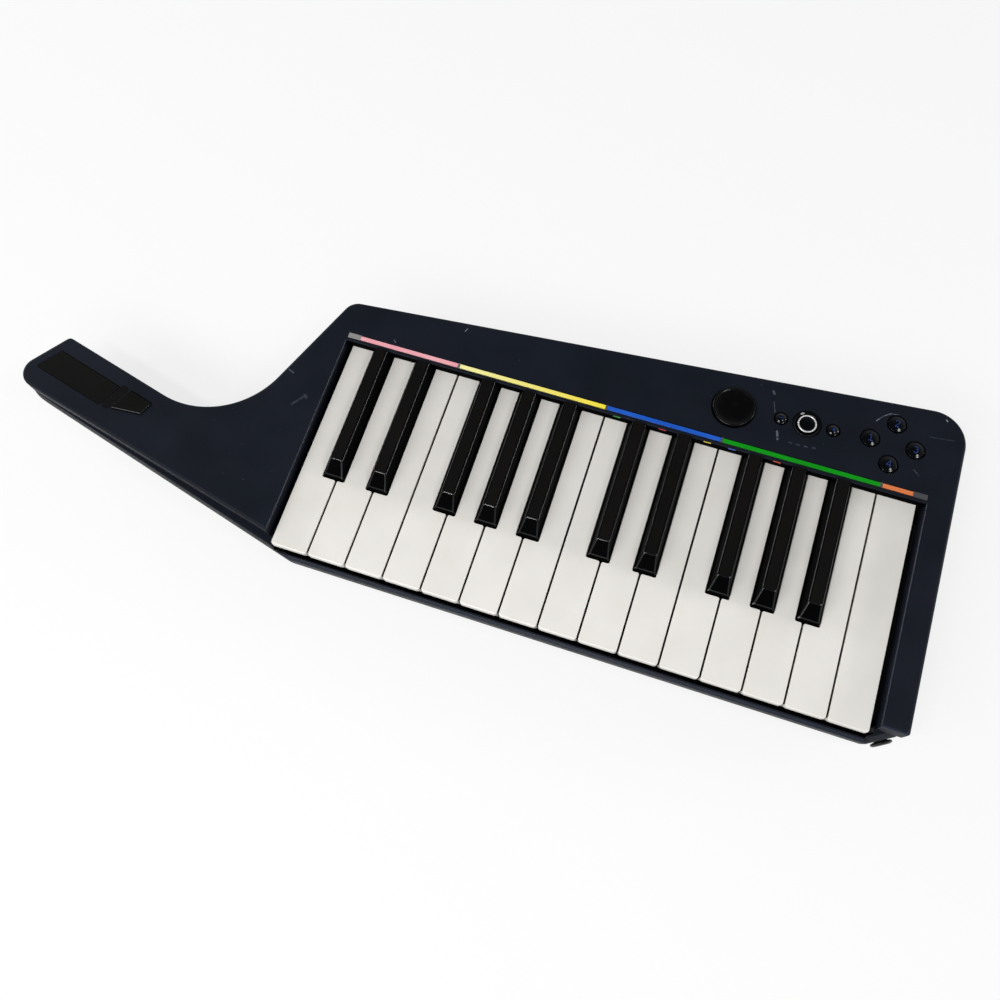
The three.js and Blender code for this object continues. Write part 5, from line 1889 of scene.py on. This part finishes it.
@dataclass(frozen=True)
class DirectionPad:
    """Round direction pad with a raised rim, and the pivot under it."""

    low: float = 2.15
    top: float = 8.55
    foot_round: float = 1.2
    rim_round: float = 0.7
    rim_inside: tuple[Point, ...] = ((-1.0, -0.04), (-1.25, -0.13))
    rim_width: float = 1.5
    rim_drop: float = 0.25
    dish: float = 0.8
    middle_lift: float = 0.35
    middle_width: float = 2.6
    pivot: tuple[Point, ...] = ((0.0, -1.0), (5.0, -1.0), (5.0, -0.5), (3.5, 1.45), (3.1, 1.85), (0.0, 1.85))

    def surface(self, reach: float) -> float:
        """Height of the dished top at a distance from its middle."""
        share = min(reach / (CONTROLS.pad_cap - self.rim_width), 1.0)
        lift = self.middle_lift * math.exp(-((reach / self.middle_width) ** 2))
        return self.top - self.dish + (self.dish - self.rim_drop) * share ** 6 + lift

    def build(self, shop: Shop) -> None:
        """Makes the pad's cap and its pivot."""
        radius, spot = CONTROLS.pad_cap, (*CONTROLS.at(0.0), 0.0)
        foot_steps = reversed(quarter_round(self.foot_round, 5))
        foot = [(radius - inset, self.low + drop) for inset, drop in foot_steps]
        rim = [(radius - inset, self.top - drop) for inset, drop in quarter_round(self.rim_round, 8)]
        inside = [(radius + across, self.top + up) for across, up in self.rim_inside]
        reaches = [(radius - self.rim_width) * (1 - step / 18) for step in range(19)]
        dish = [(reach, self.surface(reach)) for reach in reaches]
        cap = moved(turned([(0.0, self.low), *foot, *rim, *inside, *dish], 128), spot)
        node = "dpad_cap"
        shop.finish(cap, "direction_pad", node, "black_button", [PAD_GLOSS], replaces=[node], smooth=45.0)
        pivot, nodes = moved(turned(self.pivot, 56), spot), ["dpad_pivot"]
        shop.finish(pivot, "pad_pivot", "dpad_pivot", "inner_plastic", [BLACK_INNER], replaces=nodes)


@dataclass(frozen=True)
class NeckPieces:
    """Touch strip let into the neck, and the wedge-shaped button beside it."""

    strip_low: float = 5.9
    strip_corner: float = 0.6
    strip_edge: float = 0.3
    flange_low: float = 2.9
    flange_top: float = 4.2
    flange: float = 1.2
    rise: float = 0.9
    button_low: float = 3.1
    button_corner: float = 0.9
    button_edge: float = 0.75

    def build(self, shop: Shop) -> None:
        """Makes the touch strip and the neck button."""
        outline = CONTROLS.neck_outline(CONTROLS.touch, self.strip_corner)
        pad = lofted([outline.ring(0.0, self.strip_low), *outline.crown(self.strip_edge, KEYS.panel, 4)])
        shop.finish(pad, "touch_pad", "housing", "touch_pad", [PAD_MATT], replaces=["touch_strip"])
        outline = CONTROLS.neck_outline(CONTROLS.neck_button, self.button_corner)
        flange = lofted([outline.ring(-self.flange, z) for z in (self.flange_low, self.flange_top)])
        crown = outline.crown(self.button_edge, KEYS.panel + self.rise, 6)
        button = boolean(lofted([outline.ring(0.0, self.button_low), *crown]), flange, Cut.ADD)

        def rubbed(face: Face) -> int:
            above, normal = face.calc_center_median().z > self.flange_top, face.normal
            return int(above and normal.y < -0.2 and 0.1 < normal.z < 0.99)

        finishes, nodes = [PAD_MATT, BLACK_GLOSS], ["neck_button"]
        shop.finish(button, "neck_button_cap", "neck_button", "touch_pad", finishes, rubbed, nodes)


@dataclass(frozen=True)
class Lamps:
    """Smoked windows of the four lamps before the home button. Levels are in inset and height."""

    corner: float = 0.2
    levels: tuple[Point, ...] = ((0.0, 6.55), (0.0, 6.95), (0.05, 7.0))

    def build(self, shop: Shop) -> None:
        """Makes the windows, flush with the panel."""
        half_x, half_y = (size / 2 for size in CONTROLS.lamp_size)
        windows = []
        for x, y in CONTROLS.lamps:
            outline = corners_of(rectangle(x - half_x, y - half_y, x + half_x, y + half_y), self.corner)
            windows.append(lofted([outline.ring(inset, z) for inset, z in self.levels]))
        shop.finish(joined(*windows), "lamp_windows", "housing", "black_button", [LAMP_SMOKE])


@dataclass(frozen=True)
class StrapPegs:
    """Pegs that hold the strap, each fixed with a screw. Profiles are in radius and height over the seat."""

    profile: tuple[Point, ...] = (
        (0.0, 0.0), (6.0, 0.0), (6.0, 0.4), (5.7, 1.0), (4.8, 1.5), (3.9, 1.95), (3.4, 2.6), (3.4, 4.5),
        (3.8, 4.9), (5.3, 5.25), (6.0, 5.6), (6.2, 6.1), (6.0, 6.65), (5.4, 7.15), (4.4, 7.4), (2.6, 7.4),
        (2.5, 6.5), (0.0, 6.5),
    )
    screw: tuple[Point, ...] = ((0.0, 6.1), (2.2, 6.1), (2.2, 6.9), (1.7, 7.18), (0.0, 7.28))
    slot: tuple[Point3, Point3] = ((-1.4, -0.3, 6.7), (1.4, 0.3, 8.4))
    slot_turn: float = 0.4
    fit: float = 0.3

    def build(self, shop: Shop) -> None:
        """Makes both pegs and their screws."""
        for number, (node, seat) in enumerate(peg_seats().items()):
            place = seat.place() @ Matrix.Translation((0.0, 0.0, self.fit))
            peg = moved(turned(self.profile, 72), place)
            shop.finish(peg, f"{node}_body", "housing", "peg", [PEG_PLASTIC], replaces=[node])
            head = turned(self.screw, 40)
            for turn in (0.0, QUARTER):
                slot = moved(block(*self.slot), Matrix.Rotation(turn + number * self.slot_turn, 4, "Z"))
                head = boolean(head, slot)
            shop.finish(moved(head, place), f"{node}_screw", "housing", "peg", [SCREW_STEEL])


@dataclass(frozen=True)
class Feet:
    """Rubber feet, dished a little at the middle. The dish is in radius and height."""

    radius: float = 6.0
    height: float = 2.5
    low: float = -40.8
    dish: tuple[Point, ...] = ((0.0, 0.25), (3.6, 0.25), (4.2, 0.0))
    rounding: float = 0.7
    places: tuple[Point, ...] = ((18.0, 18.0), (341.4, 18.0), (18.0, 144.9), (341.4, 168.3805))

    def build(self, shop: Shop) -> None:
        """Makes the feet."""
        curve = [(self.radius - inset, drop) for inset, drop in reversed(quarter_round(self.rounding, 5))]
        profile = [*self.dish, *curve, (self.radius, self.height), (0.0, self.height)]
        for number, place in enumerate(self.places, start=1):
            foot, node = moved(turned(profile, 64), (*place, self.low)), f"foot_{number}"
            shop.finish(foot, f"{node}_pad", "housing", "foot_rubber", [RUBBER], replaces=[node])


# Glossy nylon pegs: their rims catch a grey highlight
PEG_PLASTIC = Finish("black_peg_nylon", "#070708", "#0a0a0b", 0.18, 0.3, patch_mm=6.0, grain_depth_mm=0.006)


@dataclass(frozen=True)
class Socket:
    """Round five-pin socket in the right side wall. Profiles are in radius and depth behind its face."""

    shell: tuple[Point, ...] = (
        (0.0, -12.7), (8.0, -12.7), (8.0, -0.4), (7.6, 0.0), (7.0, 0.0), (6.8, -0.2), (6.8, -6.0),
        (5.4, -6.0), (5.4, -0.3), (5.1, 0.0), (0.0, 0.0),
    )
    pin: tuple[Point, ...] = ((0.0, -5.0), (0.7, -5.0), (0.7, -0.15), (1.0, 0.3), (0.0, 0.3))
    notch: tuple[Point3, Point3] = ((-0.9, -6.9, -6.2), (0.9, -4.8, 1.0))
    face: float = 369.2
    pin_circle: float = 3.6
    pin_degrees: float = 45.0
    body_back: float = 356.2
    body_half: float = 9.0
    body_depth: float = 9.5
    body_round: float = 0.4

    def build(self, shop: Shop) -> None:
        """Makes the socket with its core, its ring and the holes for the pins."""
        barrel = boolean(turned(self.shell, 72), block(*self.notch))
        for number in range(5):
            turn = math.radians(number * self.pin_degrees)
            place = (self.pin_circle * math.cos(turn), self.pin_circle * math.sin(turn), 0.0)
            barrel = boolean(barrel, moved(turned(self.pin, 24), place))
        y, z, half, back = LOWER.socket_back, LOWER.socket_drop, self.body_half, self.body_back
        barrel = moved(barrel, Matrix.Translation((self.face, y, z)) @ ACROSS_KEYS)
        body = block((back, y - half, z - half), (back + self.body_depth, y + half, z + half))
        socket = boolean(bevelled(body, lambda edge: True, self.body_round, 2), barrel, Cut.ADD)
        nodes = ["midi_socket"]
        shop.finish(socket, "five_pin_socket", "housing", "inner_plastic", [BLACK_INNER], replaces=nodes)


LOWER = LowerCasing()


# Finish of each node inside the casing that keeps its plain mesh
INNER_FINISHES = {
    "main_board": LACQUER,
    "key_contact_board": LACQUER,
    "key_chassis": GREY_INNER,
    "hinge_rod": STEEL,
    "dome_strip": SILICONE,
    "key_stop_felt": FELT,
    "battery_1": SLEEVE,
    "battery_2": SLEEVE,
}


def dress_works() -> None:
    """Gives each node inside the casing its finish."""
    for node, finish in INNER_FINISHES.items():
        thing = bpy.data.objects[node]
        thing.data.materials.clear()
        thing.data.materials.append(finish.material())
        LOG.info("%s keeps its mesh", node)


@dataclass(frozen=True)
class BoardParts:
    """Parts on the main board's top, which show when the casing is open."""

    top: float = -1.6
    lift: float = 0.02
    rounding: float = 0.15
    chips: tuple[Row, ...] = (
        (262.0, 172.0, 7.0, 7.0, 1.2), (300.0, 177.0, 10.0, 6.0, 1.5), (318.0, 170.0, 5.0, 4.0, 1.1),
    )

    def build(self, shop: Shop) -> None:
        """Makes the chips."""
        def upper(edge: MeshEdge) -> bool:
            return max(vert.co.z for vert in edge.verts) > self.top + 0.5

        bodies = []
        for x, y, wide, deep, high in self.chips:
            low, top = self.top + self.lift, self.top + high
            chip = block((x - wide / 2, y - deep / 2, low), (x + wide / 2, y + deep / 2, top))
            bodies.append(bevelled(chip, upper, self.rounding, 2))
        shop.finish(joined(*bodies), "board_chips", "housing", "inner_plastic", [BLACK_INNER])


@dataclass(frozen=True)
class Lamp:
    """A soft rectangular light that looks at the middle of the floor under the keytar."""

    name: str
    place: Point3
    wide: float
    high: float
    power: float


@dataclass(frozen=True)
class Studio:
    """Floor, lights, background and camera; places are in the frame's metres."""

    floor_half: float = 40.0
    floor_colour: str = "#f3f3f2"
    floor_roughness: float = 0.6
    floor_ior: float = 1.2
    floor_glow: float = 0.75
    fade_from: float = 0.5
    fade_to: float = 1.6
    white: str = "#ffffff"
    fill_colour: str = "#f4f6fa"
    fill_span: Point = (-0.85, -0.05)
    fill_strengths: Point = (0.08, 0.75)
    lamps: tuple[Lamp, ...] = (
        Lamp("right_light", (1.05, -0.15, 1.5), 0.35, 0.35, 4.5),
        Lamp("front_light", (-0.55, -1.15, 1.15), 1.9, 0.5, 17.0),
        Lamp("brow_light", (-0.22, -0.58, 1.32), 0.6, 0.1, 5.5),
        Lamp("left_strip_light", (-1.7, 0.65, 0.5), 0.7, 0.3, 8.0),
        Lamp("right_strip_light", (1.8, 0.65, 0.5), 0.7, 0.3, 8.0),
    )
    focal_px: float = 980.446
    image_px: float = 1000.0
    sensor: float = 36.0
    clip: Point = (0.05, 50.0)
    camera_place: Point3 = (201.03, -107.67, 546.28)
    camera_turn: Point3 = (2.779929, 0.439230, -0.130104)

    def build(self) -> None:
        """Makes the whole stage."""
        self.build_floor()
        for lamp in self.lamps:
            self.build_lamp(lamp)
        self.build_world()
        self.build_camera()
        bpy.context.scene.view_settings.view_transform = "Standard"

    def build_floor(self) -> None:
        """Makes the floor, plain and pale.

        The camera sees it whiten with distance. From below it is clear, so that the fill light reaches the
        underside.
        """
        mesh = bpy.data.meshes.new("floor")
        solid, half = bmesh.new(), self.floor_half
        solid.faces.new([solid.verts.new((x, y, 0.0)) for x, y in rectangle(-half, -half, half, half)])
        solid.to_mesh(mesh)
        solid.free()
        floor = bpy.data.objects.new("floor", mesh)
        bpy.context.scene.collection.objects.link(floor)
        material = bpy.data.materials.new("pale_floor_paint")
        material.use_nodes = True
        tree = material.node_tree
        tree.nodes.clear()
        inputs = {"Base Color": self.floor_colour, "Roughness": self.floor_roughness, "IOR": self.floor_ior}
        paint = add_node(tree, "BsdfPrincipled", inputs)
        glow = add_node(tree, "Emission", [self.white, 1.0])
        place = add_node(tree, "TexCoord", result="Object")
        away = add_node(tree, "VectorMath", [place], "Value", operation="LENGTH")
        share = add_node(tree, "MapRange", [away, self.fade_from, self.fade_to, self.floor_glow, 1.0])
        camera = add_node(tree, "LightPath", result="Is Camera Ray")
        diffuse = add_node(tree, "LightPath", result="Is Diffuse Ray")
        seen = add_node(tree, "Math", [camera, share], operation="MULTIPLY")
        surface = add_node(tree, "MixShader", [seen, paint, glow])
        underside = add_node(tree, "NewGeometry", result="Backfacing")
        passed = add_node(tree, "Math", [underside, diffuse], operation="MAXIMUM")
        one_sided = add_node(tree, "MixShader", [passed, surface, add_node(tree, "BsdfTransparent")])
        add_node(tree, "OutputMaterial", [one_sided])
        mesh.materials.append(material)

    def build_lamp(self, lamp: Lamp) -> None:
        """Makes one light."""
        data = bpy.data.lights.new(lamp.name, "AREA")
        data.shape = "RECTANGLE"
        data.size, data.size_y, data.energy = lamp.wide, lamp.high, lamp.power
        thing = bpy.data.objects.new(lamp.name, data)
        bpy.context.scene.collection.objects.link(thing)
        thing.location = lamp.place
        thing.rotation_euler = (-Vector(lamp.place)).to_track_quat("-Z", "Y").to_euler()

    def build_world(self) -> None:
        """White background for the camera, and a soft fill that dims towards a dark ceiling."""
        world = bpy.data.worlds.new("studio")
        bpy.context.scene.world = world
        world.use_nodes = True
        tree = world.node_tree
        tree.nodes.clear()
        rays = [add_node(tree, "LightPath", result=f"Is {ray} Ray") for ray in ("Camera", "Transmission")]
        seen = add_node(tree, "Math", rays, operation="MAXIMUM")
        rise = add_node(tree, "SeparateXYZ", [add_node(tree, "NewGeometry", result="Incoming")], "Z")
        strength = add_node(tree, "MapRange", [rise, *self.fill_span, *self.fill_strengths])
        fill = add_node(tree, "Background", [self.fill_colour, strength])
        white = add_node(tree, "Background", [self.white, 1.0])
        add_node(tree, "OutputWorld", [add_node(tree, "MixShader", [seen, fill, white])])

    def build_camera(self) -> None:
        """Camera at the photo's angle."""
        data = bpy.data.cameras.new("photo_camera")
        data.sensor_width = self.sensor
        data.lens = self.focal_px * self.sensor / self.image_px
        data.clip_start, data.clip_end = self.clip
        data.dof.use_dof = False
        camera = bpy.data.objects.new("photo_camera", data)
        bpy.context.scene.collection.objects.link(camera)
        turn = Vector(self.camera_turn)
        to_camera = Matrix.Rotation(turn.length, 3, turn.normalized())
        basis = to_camera.transposed() @ Matrix.Diagonal((1.0, -1.0, -1.0))
        place = frame_place() @ Vector(self.camera_place)
        camera.matrix_world = Matrix.Translation(place) @ basis.to_4x4()
        bpy.context.scene.camera = camera


def main() -> None:
    """Builds every piece, then the stage."""
    logging.basicConfig(level=logging.INFO, format="%(name)s: %(message)s")
    shop = Shop()
    pieces = {
        "upper casing": UpperCasing(),
        "lower casing": LOWER,
        "screws": SCREWS,
        "battery door": BATTERY,
        "front rail": FrontRail(),
        "white keys": WhiteKeys(),
        "black keys": BlackKeys(),
        "colour strip": StripPieces(),
        "round buttons": RoundButtons(),
        "direction pad": DirectionPad(),
        "neck pieces": NeckPieces(),
        "lamps": Lamps(),
        "strap pegs": StrapPegs(),
        "feet": Feet(),
        "socket": Socket(),
        "board parts": BoardParts(),
    }
    for title, piece in pieces.items():
        piece.build(shop)
        LOG.info("%s done", title)
    dress_works()
    Studio().build()


if __name__ == "__main__":
    main()
